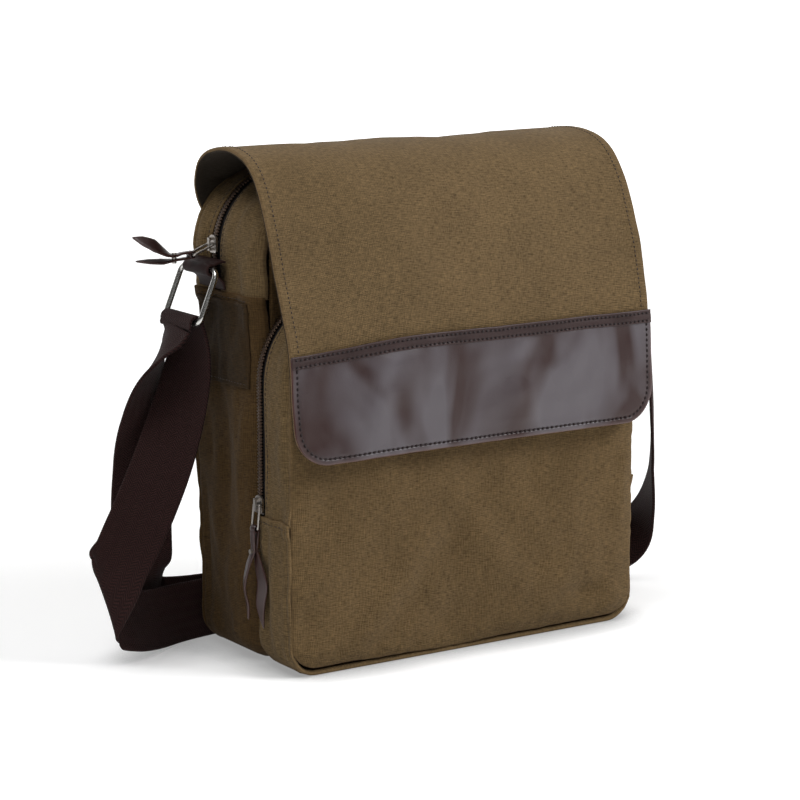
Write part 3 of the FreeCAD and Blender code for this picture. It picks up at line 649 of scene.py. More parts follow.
MAIN_RIM, POCKET_RIM = Rim(MAIN_H), Rim(POCKET_H)
MAIN_ZIP_FOOT, POCKET_ZIP_FOOT = 229.0, 96.0  # heights where the zips' ends meet the lower boxing
MAIN_FRONT, MAIN_BACK = -16.0, 53.2  # where the boxing's cloth begins and ends
POCKET_FRONT, POCKET_BACK = -55.2, -17.0
LEAST_HEIGHT = 0.35
# thread, pitch, length, radius and how far the thread stands up
PLAIN_STITCH = ("thread_canvas", 3.2, 2.3, 0.3, 0.1)
FACING_STITCH = ("thread_canvas", 3.2, 2.3, 0.3, 0.12)
FLAP_STITCH = ("thread_dark", 2.9, 1.9, 0.36, 0.2)
BAND_STITCH = ("thread_dark", 3.4, 2.4, 0.72, 0.4)
STRIP_STITCH = ("thread_dark", 3.2, 2.3, 0.68, 0.4)
TAB_STITCH = ("thread_dark", 3.0, 2.2, 0.36, 0.15)
STUD_LOW, STUD_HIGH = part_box("snap_stud")
SNAP_Z, SNAP_R = (STUD_LOW[2] + STUD_HIGH[2]) / 2 / MM, (STUD_HIGH[2] - STUD_LOW[2]) / 2 / MM


def side_sag(x, y, z):
    """How the soft boxing swells out and creases, in millimetres outward."""
    side = np.sign(x)
    swell = 1.6 * bell(z, 120, 90) + 1.2 * bell(z, 260, 30)
    grid = np.stack([x * 0.3 + side * 40, y * 1.3, z * 0.35], -1)
    pucker = np.stack([y * 0.2, x + z, z - x], -1)
    seams = np.maximum(bell(y, -14, 9), bell(y, 53, 7))
    folds = 1.9 * bell(y, 4, 6) * bell(z, 90, 55) - 1.7 * bell(y, 16, 5) * bell(z, 105, 60)
    folds += 1.5 * bell(y, 30, 7) * bell(z, 70, 45) - 1.0 * bell(y, 43, 5) * bell(z, 80, 50)
    return swell + folds + 2.1 * field(grid, 26.0, 3, 3) + 0.5 * seams * field(pucker, 13.0, 41, 2)


def main_front_roll(y):
    """The boxing rolls in towards the seam with the front of the main compartment."""
    d = np.clip((y + 16.0) / 15.0, 0, 1)
    return 11.0 * (1 - np.sqrt(1 - (1 - d) ** 2))


def seam_ridge(y, seam, side):
    """A small groove and lip where the boxing meets a panel's turned edge."""
    d = (seam - y) * side
    return -1.3 * bell(d, 2.6, 1.3) + 0.4 * bell(d, 5.0, 1.6)


def ground(points):
    """Keeps cloth on or above the ground."""
    points[..., 2] = np.maximum(points[..., 2], LEAST_HEIGHT)
    return points


def main_offset(y, x, z):
    free = ease(np.abs(y - 31.5), 4.0, 13.0) * ease(z, 205, 235) + 1 - ease(z, 205, 235)
    low = ease(z, 2, 16)
    out = side_sag(x, y, z) * free * low * ease(MAIN_H - z, -2, 14) - 1.2
    out -= main_front_roll(y)
    out += seam_ridge(y, 53.0, 1)
    return out


def pocket_offset(y, x, z):
    low = ease(z, 2, 16)
    d = np.clip((-17.0 - y) / 8.0, 0, 1)
    roll = 5.0 * (1 - np.sqrt(1 - (1 - d) ** 2))
    grid = np.stack([x * 0.3, y * 1.2, z * 0.5], -1)
    fold = 2.4 * bell(y, -38, 6) * bell(z, 62, 34) - 1.9 * bell(y, -29, 4) * bell(z, 48, 34)
    fold += 1.6 * bell(y, -47, 5) * bell(z, 150, 50)
    swell = 0.8 * bell(z, 40, 40)
    pucker = np.stack([y * 0.2, x + z, z - x], -1)
    seams = np.maximum(bell(y, -19, 5), bell(y, -54, 6))
    ripple = 0.5 * seams * low * field(pucker, 12.0, 42, 2)
    free = ease(-24.0 - y, 0.0, 9.0) * ease(z, 84, 104) + 1 - ease(z, 84, 104)
    out = (swell + fold + 1.3 * field(grid, 20.0, 8, 3)) * free * low * ease(POCKET_H - z, -2, 14)
    out += ripple * free - 1.2
    return out - roll + seam_ridge(y, -55.0, -1)


def lapped(offset, reach):
    """The lower boxing's folded top edges lie over the ends of the zip facings."""
    return lambda y, x, z: offset(y, x, z) + 1.3 * ease(z, reach - 9.0, reach - 5.0) + 0.3


def boxing(name, rim, start, end, y_low, y_high, offset, step, material, thick, most):
    """One band of the boxing, from start to end along the outline."""
    walk, depths = stations(start, end, step[0]), stations(y_low, y_high, step[1])
    grid = ground(ribbon(rim, np.mod(walk, rim.length), depths, offset))
    s, y = np.meshgrid(walk, depths, indexing="ij")
    edge = within(s, y, start, end, y_low, y_high)
    return cloth(Piece(name), grid, rounded_half(edge, thick), flat_of(walk, depths), material,
                 rubbed(edge, most, 1.6))


def gusset(name, rim, zip_foot, y_low, y_high, step, offset, material, rows, *nodes):
    """The lower boxing, from one end of the zip round under the bag to the other."""
    seam = rim.left_at(zip_foot)
    offset = lapped(offset, zip_foot)
    piece = boxing(name, rim, -seam, seam, y_low, y_high, offset, (4.0, step), material, 2.4, 0.7)
    for end in (-1, 1):
        place = np.mod(np.array([end * (seam - 3.2)]), rim.length)
        row = ground(ribbon(rim, place, rows, offset))[0]
        normal = np.tile([-float(end), 0, 0], (len(rows), 1))
        stitch_row(piece, row + normal * 1.25, normal, *PLAIN_STITCH)
    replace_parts(piece.make("canvas", "bag"), *nodes)


def facing(name, rim, zip_foot, y_low, y_high, offset, depth, node):
    """The boxing beside one edge of a zip, with its row of stitches."""
    seam = rim.left_at(zip_foot)
    far = rim.length - seam
    start, end = seam - 1.5, far + 1.5
    piece = boxing(name, rim, start, end, y_low, y_high, offset, (3.5, 3.0), "canvas_side", 2.0, 0.75)
    low, high = seam + 4, far - 4
    walk = np.linspace(low, high, int((high - low) / 3))
    line = ground(ribbon(rim, walk, np.array([depth]), offset))[:, 0]
    _, _, nx, nz = rim.at(walk)
    normal = upright(nx, nz)
    stitch_row(piece, line + normal, normal, *FACING_STITCH)
    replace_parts(piece.make("canvas", "bag"), node)


def full_panel(name, node, height, y_face, thick, puff, material, low, inset=0.8, step=4.0, face=-1):
    """A front or back panel: puffed between its seams, with a rounded turned edge."""
    x, z, inside = panel_grid(height, step, inset, low)
    lift = puff(x, z, inside)
    y = y_face + face * lift
    drift = upright(x, z)
    z = z + 0.9 * field(drift, 45.0, 51, 2) * bell(z, 0, 22) * (low > 3)
    points = np.stack([x, y, z], -1)
    if face > 0:
        points = points[:, ::-1]
        x, z, inside = x[:, ::-1], z[:, ::-1], inside[:, ::-1]
    half = rounded_half(inside, thick + 1.2 * bell(inside, 1.5, 3.0))
    # panels of the canvas darkened as painted shade get no pale worn edges
    worn = rubbed(inside, 0.9, 1.3) * (material != "canvas_low")
    piece = cloth(Piece(name), points, half, np.stack([x, z], -1), material, worn)
    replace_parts(piece.make("canvas", "bag"), node)


def front_puff(x, z, inside):
    grid = upright(x, z)
    dome = 2.6 * (1 - np.exp(-np.maximum(inside, 0) / 14.0))
    crease = 1.5 * bell(inside, 0.0, 4.0)
    left, right = x - 0.8 * z, x + 0.7 * z
    low_fold = -4.2 * bell(x, 90, 13) * bell(z, 25, 7) + 2.4 * bell(x, 62, 20) * bell(z, 34, 12)
    low_fold += 2.4 * bell(left, -98, 11) * bell(z, 40, 34) - 2.2 * bell(left, -74, 11) * bell(z, 50, 36)
    low_fold += 2.0 * bell(right, 60, 12) * bell(z, 70, 36) - 1.6 * bell(right, 84, 12) * bell(z, 80, 36)
    waves = 2.0 * field(grid, 62.0, 5, 3) + 0.7 * field(grid, 26.0, 6, 2)
    pucker = 0.8 * bell(inside, 6, 6) * field(grid, 11.0, 43, 2)
    loose = ease(np.hypot(x, z - SNAP_Z), SNAP_R + 1.5, SNAP_R + 24)
    return (dome - crease + pucker + (waves + low_fold) * ease(inside, 0, 12) - 0.5) * loose + 0.5


def back_puff(x, z, inside):
    waves = 0.5 * field(upright(x, z), 60.0, 11, 2)
    return 1.2 * (1 - np.exp(-np.maximum(inside, 0) / 12.0)) + waves * ease(inside, 0, 14) - 1.0


def flat_puff(x, z, inside):
    return 0.6 * ease(inside, 0, 20) - 0.5


def make_body():
    main = (MAIN_RIM, MAIN_ZIP_FOOT)
    # the main lower boxing takes the canvas darkened as painted shade
    gusset("main_boxing_cloth", *main, MAIN_FRONT, MAIN_BACK, 3.0, main_offset, "canvas_low",
           np.linspace(-8, 50, 24), "main_lower_gusset", "main_lining", "base_board")
    facing("main_zip_facing_rear", *main, 37.2, MAIN_BACK, main_offset, 39.6, "main_zip_strip_rear")
    facing("main_zip_facing_front", *main, MAIN_FRONT, 25.8, main_offset, 23.4, "main_zip_strip_front")
    full_panel("back_panel_cloth", "back_panel", MAIN_H, 53.4, 2.2, back_puff, "canvas", 1.0, face=1)
    # the recessed main front takes the canvas darkened as painted shade, for the dark valley under the flap
    full_panel("main_front_cloth", "main_front_panel", MAIN_H - 1.0, -15.5, 2.0, flat_puff, "canvas_low", 2.0,
               inset=11.0)
    pocket = (POCKET_RIM, POCKET_ZIP_FOOT)
    gusset("pocket_boxing_cloth", *pocket, POCKET_FRONT, POCKET_BACK, 2.6, pocket_offset, "canvas_side",
           np.linspace(-52, -20, 16), "pocket_lower_gusset", "pocket_lining")
    facing("pocket_zip_facing", *pocket, POCKET_FRONT, -25.6, pocket_offset, -28.3, "pocket_zip_strip_front")
    full_panel("front_panel_cloth", "front_panel", POCKET_H, -55.6, 2.4, front_puff, "canvas_front", 4.0,
               step=3.0)


make_body()

# ---- zips

TOOTH_PITCH = 2.0
TAPE_DEPTH = 1.7  # how far the tapes lie inside the outline


def make_zip(prefix, rim, low, y_middle, sides):
    """Tapes and teeth of one zip that runs up one side, over the top and down the other."""
    start = rim.left_at(low)
    end = rim.length - start
    for word, y_low, y_high in sides:
        walk, depths = stations(start, end, 4.0), stations(y_low, y_high, 2.0, fine=(0, 0.1, 0.3, 0.6))
        grid = ribbon(rim, walk, depths, lambda y, x, z: 0 * y - TAPE_DEPTH)
        s, y = np.meshgrid(walk, depths, indexing="ij")
        half = rounded_half(within(s, y, start, end, y_low, y_high), 0.8)
        piece = cloth(Piece(f"{prefix}_tape_{word}"), grid, half, flat_of(walk, depths), "tape")
        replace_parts(piece.make("zip_tape", "bag"), f"{prefix}_zip_tape_{word}")
    teeth = Piece(f"{prefix}_teeth")
    walk = np.arange(start + 4.5, end - 4.5, TOOTH_PITCH / 2)
    x, z, nx, nz = rim.at(walk)
    hand = np.where(np.arange(len(walk)) % 2 == 0, 1.0, -1.0)
    # one tooth: a rounded block that reaches over the middle from its own tape
    profile = np.array([(-0.62, -0.4), (-0.35, -0.62), (0.35, -0.62), (0.62, -0.4),
                        (0.62, 0.4), (0.35, 0.62), (-0.35, 0.62), (-0.62, 0.4)])
    steps = [(-0.95, 0.75), (-0.55, 1.0), (2.05, 1.0), (2.5, 0.7)]
    tangent = unit(upright(np.gradient(x), np.gradient(z)))
    outward = upright(nx, nz)
    across = np.array([0.0, 1.0, 0.0])
    centre = np.stack([x, np.full(len(x), y_middle), z], -1) + outward * 0.05
    rings = [centre[:, None] + (hand * reach)[:, None, None] * across
             + profile[None, :, :1] * size * 0.98 * tangent[:, None]
             + profile[None, :, 1:] * size * 1.25 * outward[:, None] for reach, size in steps]
    points = np.stack(rings, 1).reshape(-1, 3)
    caps = [[3, 2, 1, 0], [7, 4, 3, 0], [7, 6, 5, 4], [24, 25, 26, 27], [24, 27, 28, 31], [28, 29, 30, 31]]
    faces = drum_faces(len(x), 4, 8, caps)
    flip = hand < 0
    faces[flip] = faces[flip][:, :, ::-1]
    teeth.add(points, faces.reshape(-1, 4), points[:, [0, 2]], "zip_metal")
    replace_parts(teeth.make("zip_metal", "bag"), f"{prefix}_zip_chain")


make_zip("main", MAIN_RIM, MAIN_ZIP_FOOT, 31.5, (("rear", 31.6, 39.0), ("front", 24.0, 31.4)))
make_zip("pocket", POCKET_RIM, POCKET_ZIP_FOOT, -21.0,
         (("rear", -20.9, POCKET_BACK), ("front", -28.5, -21.1)))

# ---- flap

FLAP_HALF, FLAP_CORNER, REAR_CORNER = 133.0, 22.0, 34.0
FLAP_LEFT = smooth_line([
    (53.5, 262), (52.0, 274), (51.2, 286), (50.2, 297), (45.5, 306.5), (34, 313.6), (18, 316.2), (3, 315.4),
    (-12, 310.3), (-24, 299), (-33, 280), (-42, 255), (-52, 228), (-59.5, 206), (-62.5, 184), (-65.5, 159),
    (-69, 134),
])
FLAP_RIGHT = smooth_line([
    (55.9, 262), (56.1, 275), (56.2, 288), (55.2, 300), (48, 309.4), (35, 313.6), (18, 315.2), (1, 314.8),
    (-15, 310.8), (-29, 301.5), (-41, 285), (-50.5, 262), (-58.5, 238), (-64, 213), (-66.5, 189), (-68, 163),
    (-69.5, 135),
])
FLAP_MIDDLE = (FLAP_LEFT + FLAP_RIGHT) / 2
FLAP_WALK = walked(FLAP_MIDDLE)
FLAP_LONG = FLAP_WALK[-1]
FLAP_SPLIT = round(float(np.interp(-20.0, -FLAP_MIDDLE[:, 0], FLAP_WALK)), 3)
CANVAS_T, BAND_T = 1.5, 1.3
LINING_GAP = 1.15  # from the middle of the canvas to the middle of the lining
BAND_TOP = FLAP_LONG - 68.0  # the leather covers the flap's last 68 mm


def flap_surface(x, s):
    """The middle of the flap's cloth at x across and s along it from the rear seam."""
    share = ease(x, -FLAP_HALF, -118.0) * (1 - ease(s, 20, 60)) + ease(x, -FLAP_HALF, -40.0) * ease(s, 20, 60)
    place = []
    for k in (0, 1):
        left = np.interp(s, FLAP_WALK, FLAP_LEFT[:, k])
        right = np.interp(s, FLAP_WALK, FLAP_RIGHT[:, k])
        place.append(left * (1 - share) + right * share)
    y, z = place
    grid = upright(x, s)
    sway = ease(s, 26, 70)
    lift = 0.9 * field(grid, 75.0, 21, 3) + 0.3 * field(grid, 24.0, 22, 2)
    lift += 1.5 * bell(x, -96, 26) * bell(s, 78, 26) - 0.8 * bell(x, -35, 34) * bell(s, 80, 30)
    lift *= sway
    crown = ease(s, 60, 110)
    y = y - lift * crown
    z = z + lift * (1 - crown)
    return np.stack([x, y, z], -1)


def flap_inside(x, s):
    """Distance in from the flap's free edges; the rear end counts as free too."""
    middle, span = FLAP_LONG / 2, FLAP_LONG / 2
    radius = np.where(s > middle, FLAP_CORNER, REAR_CORNER)
    qx = np.abs(x) - (FLAP_HALF - radius)
    qs = np.abs(s - middle) - (span - radius)
    return radius - np.hypot(np.maximum(qx, 0), np.maximum(qs, 0)) - np.minimum(np.maximum(qx, qs), 0)


def flap_rows(start, end, step):
    """Rows along the flap, closer together where the corners turn."""
    turn = 1 - np.cos(np.linspace(0, math.pi / 2, 18))
    rows = stations(start, end, step, fine=(0, 0.2, 0.6, 1.2))
    rows = np.concatenate([rows, FLAP_LONG - FLAP_CORNER * turn, REAR_CORNER * turn])
    rows = np.unique(np.round(rows[(rows >= start) & (rows <= end)], 3))
    return rows[np.concatenate([[True], np.diff(rows) > 0.06])]


def flap_width(s):
    """Half the flap's width at s, with its front and rear corners rounded."""
    front = np.maximum(s - (FLAP_LONG - FLAP_CORNER), 0)
    rear = np.maximum(REAR_CORNER - s, 0)
    trim = FLAP_CORNER - np.sqrt(np.maximum(FLAP_CORNER**2 - front**2, 0))
    return FLAP_HALF - trim - (REAR_CORNER - np.sqrt(np.maximum(REAR_CORNER**2 - rear**2, 0)))


FLAP_FINE = (0, 0.12, 0.4, 0.9, 1.6, 2.6, 3.8, 5, 6.5, 9)
FLAP_ACROSS = stations(-1, 1, 0.03, fine=[f / FLAP_HALF for f in FLAP_FINE])


def flap_grid(rows):
    x = flap_width(rows)[:, None] * FLAP_ACROSS[None, :]
    s = np.repeat(rows[:, None], len(FLAP_ACROSS), 1)
    return x, s


def snap_pull(x, s):
    """How far the lining stands off the canvas to reach the back of the snap's stud."""
    hang = FLAP_RIGHT[:, 1].argmax()
    snap_s = float(np.interp(-SNAP_Z, -FLAP_RIGHT[hang:, 1], FLAP_WALK[hang:]))
    behind = flap_surface(np.array([0.0]), np.array([snap_s]))[0, 1]
    gap = STUD_LOW[1] / MM - 0.15 - (behind + LINING_GAP)
    return gap * (1 - ease(np.hypot(x, s - snap_s), SNAP_R + 1.0, SNAP_R + 26.0))


def flap_layer(piece, rows, shift, thick, hem, material):
    """One layer of the flap between two rows: the canvas, or the thin lining under it."""
    x, s = flap_grid(rows)
    surface = flap_surface(x, s)
    normal = grid_normals(surface)
    inside = flap_inside(x, s)
    half = rounded_half(inside, thick + hem * (1 - ease(inside, 7.5, 9.5)) - 0.35 * bell(inside, 6.0, 0.9))
    worn = rubbed(inside, 0.8, 1.4)
    if material == "lining":
        worn = 0.0
        shift = (shift - snap_pull(x, s))[..., None]
    cloth(piece, surface + normal * shift, half, np.stack([x, s], -1), material, worn)


def flap_line(x, s):
    """Points and outward normals along a line on the flap."""
    step = 0.5
    here = flap_surface(x, s)
    du = flap_surface(x + step, s) - flap_surface(x - step, s)
    dv = flap_surface(x, s + step) - flap_surface(x, s - step)
    return here, unit(np.cross(dv, du))


def flap_edge_line(inset, start):
    """Points and normals round the flap's lower edge from start on the left to start on the right."""
    half, corner = FLAP_HALF - inset, FLAP_CORNER - inset
    low = FLAP_LONG - inset
    down = np.linspace(start, low - corner, max(4, int((low - corner - start) / 3)))
    turn = np.radians(np.linspace(0, 90, 14))
    left = [(-half, v) for v in down]
    left += [(-half + corner - corner * math.cos(a), low - corner + corner * math.sin(a)) for a in turn]
    bottom = [(v, low) for v in np.linspace(-half + corner, half - corner, 80)[1:-1]]
    right = [(-px, ps) for px, ps in left[::-1]]
    line = np.array(left + bottom + right)
    return flap_line(line[:, 0], line[:, 1])


def flap_row(piece, x, s, rise, stitch):
    """A row of thread across or along the flap."""
    here, normal = flap_line(x, s)
    stitch_row(piece, here + normal * rise, normal, *stitch)


# each half's rows, bodies, the ends of its bend, what it rests on, and the nodes it stands for
FLAP_PARTS = {
    "rear": ((0, FLAP_SPLIT), ("bag", "flap_top"), ((0, 0.0557, 0.277), (0, 0.0557, 0.292)),
             "back_panel_cloth", ("flap_seam_strip", "flap_top_canvas"), ("flap_top_lining",)),
    "fore": ((FLAP_SPLIT, FLAP_LONG), ("flap_top", "flap_front"), ((0, -0.013, 0.3095), (0, -0.031, 0.296)),
             "front_panel_cloth", ("flap_front_canvas",), ("flap_front_lining",)),
}


def make_flap():
    for word, (span, bodies, bend, under, canvas_nodes, lining_nodes) in FLAP_PARTS.items():
        rows = flap_rows(*span, 3.0)
        piece, lining = Piece(f"flap_{word}"), Piece(f"flap_lining_{word}")
        flap_layer(piece, rows, 0.0, CANVAS_T, 1.0, "canvas")
        flap_layer(lining, rows, -LINING_GAP, 0.6, 0.0, "lining")
        for side in (-1, 1):
            s = np.linspace(rows[0] + 2, min(rows[-1] - 1, BAND_TOP - 2), 60)
            flap_row(piece, side * (flap_width(s) - 6.0), s, 1.07, FLAP_STITCH)
        for s_row, rise in ((4.0, 1.2), (17.0, 0.78)) if word == "rear" else ():
            x = np.linspace(-1, 1, 90) * (flap_width(np.array([s_row]))[0] - 4)
            flap_row(piece, x, np.full(90, s_row), rise, FLAP_STITCH)
        for part, slot, nodes in ((piece, "canvas", canvas_nodes), (lining, "lining", lining_nodes)):
            made = part.make(slot)
            made.data.set_sharp_from_angle(angle=math.radians(65))  # the two halves meet with no shaded line
            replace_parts(made, *nodes)
            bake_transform(made)


def make_band():
    """The leather band along the flap's lower edge, its folded top strip, pale edges and stitching."""
    top = BAND_TOP
    rise = CANVAS_T / 2 + 0.35
    x, s = flap_grid(flap_rows(top, FLAP_LONG, 2.2))
    surface, normal = flap_line(x, s)
    inside = np.minimum(flap_inside(x, s), s - top)
    dents = upright(x, s * 0.6)
    wavy = (1.3 * field(dents, 36.0, 31, 2) + 0.22 * field(dents, 9.0, 32, 2)) * ease(inside, 4, 12)
    wavy = 0.5 * (wavy + np.sqrt(wavy * wavy + 0.4)) - 0.3
    dip = 0.35 * bell(inside, 3.4, 0.8) + 0.3 * bell(s - top, 6.2, 0.8) * (s - top < 12)
    face = surface + normal * (rise + BAND_T / 2 + wavy - dip)[..., None]
    piece = cloth(Piece("leather_band"), face, rounded_half(inside, BAND_T), np.stack([x, s], -1), "band",
                  rubbed(inside, 0.9, 0.8))
    here, normal = flap_edge_line(3.4, top + 3.4)
    stitch_row(piece, here + normal * (rise + BAND_T - 0.35), normal, *BAND_STITCH)

    half, low, high = FLAP_HALF + 0.2, top - 0.6, top + 7.4
    strip_rows = stations(low, high, 1.2, fine=(0, 0.1, 0.35, 0.8, 1.3))
    s, x = np.meshgrid(strip_rows, FLAP_ACROSS * half, indexing="ij")
    here, normal = flap_line(x, s)
    edge = within(s, x, low, high, -half, half)
    lift = rise + BAND_T + 0.25 - 0.25 * bell(s - top, 1.6, 0.7) - 0.25 * bell(s - top, 6.0, 0.7)
    strip = cloth(Piece("leather_band_strip"), here + normal * lift[..., None], rounded_half(edge, 0.9),
                  np.stack([x, s], -1), "strip", rubbed(edge, 0.9, 0.5))
    x = np.linspace(-FLAP_HALF + 1.6, FLAP_HALF - 1.6, 110)
    for row in (1.5, 6.0):
        flap_row(strip, x, np.full(110, top + row), rise + BAND_T + 0.45, STRIP_STITCH)
    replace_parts(strip.make("band_leather", "flap_front"), "band_top_strip")
    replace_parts(piece.make("band_leather", "flap_front"), "flap_leather_band")

    edge = Piece("leather_band_edge")
    here, normal = flap_edge_line(0.5, top + 0.5)
    tube(edge, here + normal * (rise + 0.45), 0.8, "band_edge")
    x = np.linspace(-FLAP_HALF + 0.8, FLAP_HALF - 0.8, 110)
    here, normal = flap_line(x, np.full(110, top + 0.2))
    tube(edge, here + normal * (rise + 0.35), 0.7, "band_edge")
    edge.make("band_leather", "flap_front")


make_flap()
make_band()

# ---- side patches and ring tabs

SIDES = {"left": -1, "right": 1}
BAR_X, BAR_Y, BAR_Z = 141.0, 31.0, 243.0  # a ring's upper bar, which its tab folds round
TAB_W = 31.0


def make_patch(word, side):
    """Stitched canvas patch on the boxing under a ring, its cloth darkened as painted shade from the tab,
    strap and flap.
    """
    low, high, front, back = 172, 224.5, -9, 47
    rows, depths = stations(low, high, 4.0), stations(front, back, 3.0)
    under = lapped(main_offset, MAIN_ZIP_FOOT)

    def walk_of(heights):
        walk = np.array([MAIN_RIM.left_at(v) for v in heights])
        return MAIN_RIM.length - walk if side > 0 else walk

    grid = ribbon(MAIN_RIM, walk_of(rows), depths, under)
    grid[..., 0] += side * 1.75
    z, y = np.meshgrid(rows, depths, indexing="ij")
    edge = within(z, y, low, high, front, back)
    turn = slice(None, None, -1 if side > 0 else 1)
    patch = cloth(Piece(f"side_patch_{word}_cloth"), grid[:, turn], rounded_half(edge[:, turn], 1.4),
                  np.stack([y, z], -1)[:, turn], "patch_painted_shade", rubbed(edge[:, turn], 0.7, 1.4))
    y = np.linspace(front + 2, back - 2, 20)
    walk = walk_of(np.full(20, low + 2.6))
    x, z, _, _ = MAIN_RIM.at(walk)
    points = np.stack([x + side * (under(y, x, z) + 2.45), y, z], -1)
    stitch_row(patch, points, np.tile([float(side), 0, 0], (20, 1)), *PLAIN_STITCH)
    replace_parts(patch.make("canvas", "bag"), f"side_patch_{word}")


def make_tab(word, side):
    """The folded leather tab that holds a ring."""
    wrap = 1.8 + 0.35 + 0.9
    path = [(side * 131.2, 247.4), (side * 134.0, 247.6), (side * 137.0, 246.9)]
    path += [(side * BAR_X + side * wrap * math.cos(a), BAR_Z + wrap * math.sin(a))
             for a in np.radians(np.linspace(112, -112, 13))]
    path += [(side * 136.0, 238.0), (side * 133.0, 234.6), (side * 131.9, 230.0)]
    line = smooth_line(path, 5)
    across = stations(-TAB_W / 2, TAB_W / 2, 2.5, fine=(0, 0.1, 0.35, 0.8, 1.5))
    grid = strip_grid(line, across, BAR_Y)
    walk = walked(line)
    s, y = np.meshgrid(walk, across, indexing="ij")
    edge = within(s, y, 0.0, walk[-1], -TAB_W / 2, TAB_W / 2)
    tab = cloth(Piece(f"tab_{word}_leather"), grid, rounded_half(edge, 1.7), np.stack([y, s], -1), "tab",
                rubbed(edge, 0.8, 0.8))
    normal = grid_normals(grid)
    toward = -1.0 if normal[2, 3, 0] * side < 0 else 1.0
    keep = np.abs(across) < 13.6
    for row_s in (3.2, 9.5):
        k = int(np.argmin(np.abs(walk - row_s)))
        up = normal[k][keep] * toward
        stitch_row(tab, grid[k][keep] + up * 0.9, up, *TAB_STITCH)
    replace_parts(tab.make("tab_webbing", "bag"), f"tab_{word}")


for word, side in SIDES.items():
    make_patch(word, side)
    make_tab(word, side)

# ---- shoulder strap

STRAP_W, STRAP_T = 38.0, 2.0
RING_REACH = 34.0  # from a ring's upper bar to its lower one
SLEEVE_R = 4.2  # radius of the webbing's turn round the lower bar
# Each stop of a route is its point, the direction across the webbing and how far an oblique fold spreads it.
STRAP_RIGHT = [
    ((178.6, 31, 230.0), (0, 1, 0)), ((189, 29.5, 233.5), (0.3, 0.95, 0)),
    ((197.5, 27, 221), (0.5, 0.86, 0)), ((202, 24.5, 192), (0.62, 0.77, -0.12)),
    ((205, 22.5, 155), (0.64, 0.74, -0.19)), ((207, 20.5, 115), (0.63, 0.75, -0.19)),
    ((206, 18, 77), (0.58, 0.8, -0.1)), ((197, 16.5, 47), (0.36, 0.86, 0.35)),
    ((182, 22, 27), (-0.05, 0.35, 0.93)), ((168, 38, 20), (0, 0.1, 1)), ((148, 57, 19.3), (0, 0, 1)),
    ((110, 66.5, 19.3), (0, 0, 1)), ((65, 69.4, 19.3), (0, 0, 1)), ((20.2, 69.6, 19.3), (0, 0, 1)),
]
STRAP_LEFT = [
    ((19.8, 69.6, 19.3), (0, 0, 1)), ((-24, 69.9, 19.3), (0, 0, 1)), ((-68, 69.6, 19.3), (0, 0, 1)),
    ((-108, 69.0, 19.3), (0, 0, 1)), ((-138, 68.2, 19.5), (0, 0.2, 0.98)),
    ((-156, 65.5, 23), (0.1, 0.4, 0.9)), ((-167, 60, 39), (0.45, 0.1, 0.8)),
    ((-172, 55, 62), (0.84, -0.4, 0.3)), ((-174, 51.5, 92), (0.84, -0.54, 0)),
    ((-172, 49.5, 124), (0.9, -0.35, 0)), ((-171.5, 48, 152), (0.95, 0.2, 0)),
    ((-169.5, 44.5, 176), (0.8, 0.6, 0)), ((-165, 37, 194), (0.45, 0.89, 0)),
    ((-159.9, 31.6, 203.5), (0.1, 0.99, 0)), ((-158.5, 31, 208.6), (0, 1, 0)),
]
STRAP_TAIL_UPPER = [
    ((-149.6, 31, 209.6), (0, 1, 0)), ((-148.5, 30.5, 197), (-0.15, 0.98, 0)),
    ((-153, 28.5, 176), (-0.35, 0.9, 0.15)), ((-162, 26.5, 150), (-0.5, 0.8, 0.3)),
    ((-174, 25, 121), (-0.62, 0.66, 0.42)), ((-188, 24.5, 93), (-0.68, 0.56, 0.47)),
    ((-203, 23.5, 68), (-0.66, 0.4, 0.63), 1.0), ((-214.5, 24, 49), (-0.38, 0.03, 0.92), 1.37),
    ((-209, 29.5, 33), (-0.2, 0.1, 0.97), 1.0), ((-191, 36.5, 24), (0, 0.4, 0.91)),
    ((-168, 47, 20), (0, 0.3, 0.95)), ((-141, 57.2, 19.3), (0, 0.05, 1)), ((-105, 60.4, 19.3), (0, 0, 1)),
]
STRAP_TAIL_END = [
    ((-104.3, 60.4, 19.3), (0, 0, 1)), ((-67, 61.8, 19.5), (0, 0, 1)), ((-28, 61.4, 21.3), (0, 0, 1)),
    ((8, 62.0, 23.8), (0, 0, 1)),
]


def spline_points(name, points):
    """Points along a NURBS line whose control points are the route's, in millimetres."""
    data = bpy.data.curves.new(name, "CURVE")
    data.dimensions = "3D"
    spline = data.splines.new("NURBS")
    spline.points.add(len(points) - 1)
    for spot, place in zip(spline.points, points):
        spot.co = (*[c * MM for c in place], 1.0)
    spline.order_u = 3
    spline.use_endpoint_u = True
    spline.resolution_u = 10
    holder = bpy.data.objects.new(name, data)
    bpy.context.scene.collection.objects.link(holder)
    bpy.context.view_layer.update()
    mesh = bpy.data.meshes.new_from_object(holder.evaluated_get(bpy.context.evaluated_depsgraph_get()))
    line = np.array([v.co for v in mesh.vertices], float) / MM
    bpy.data.objects.remove(holder)
    bpy.data.meshes.remove(mesh)
    return line


STRAP_ACROSS = stations(-STRAP_W / 2, STRAP_W / 2, 3.0, fine=(0, 0.1, 0.35, 0.8, 1.5, 3.0))


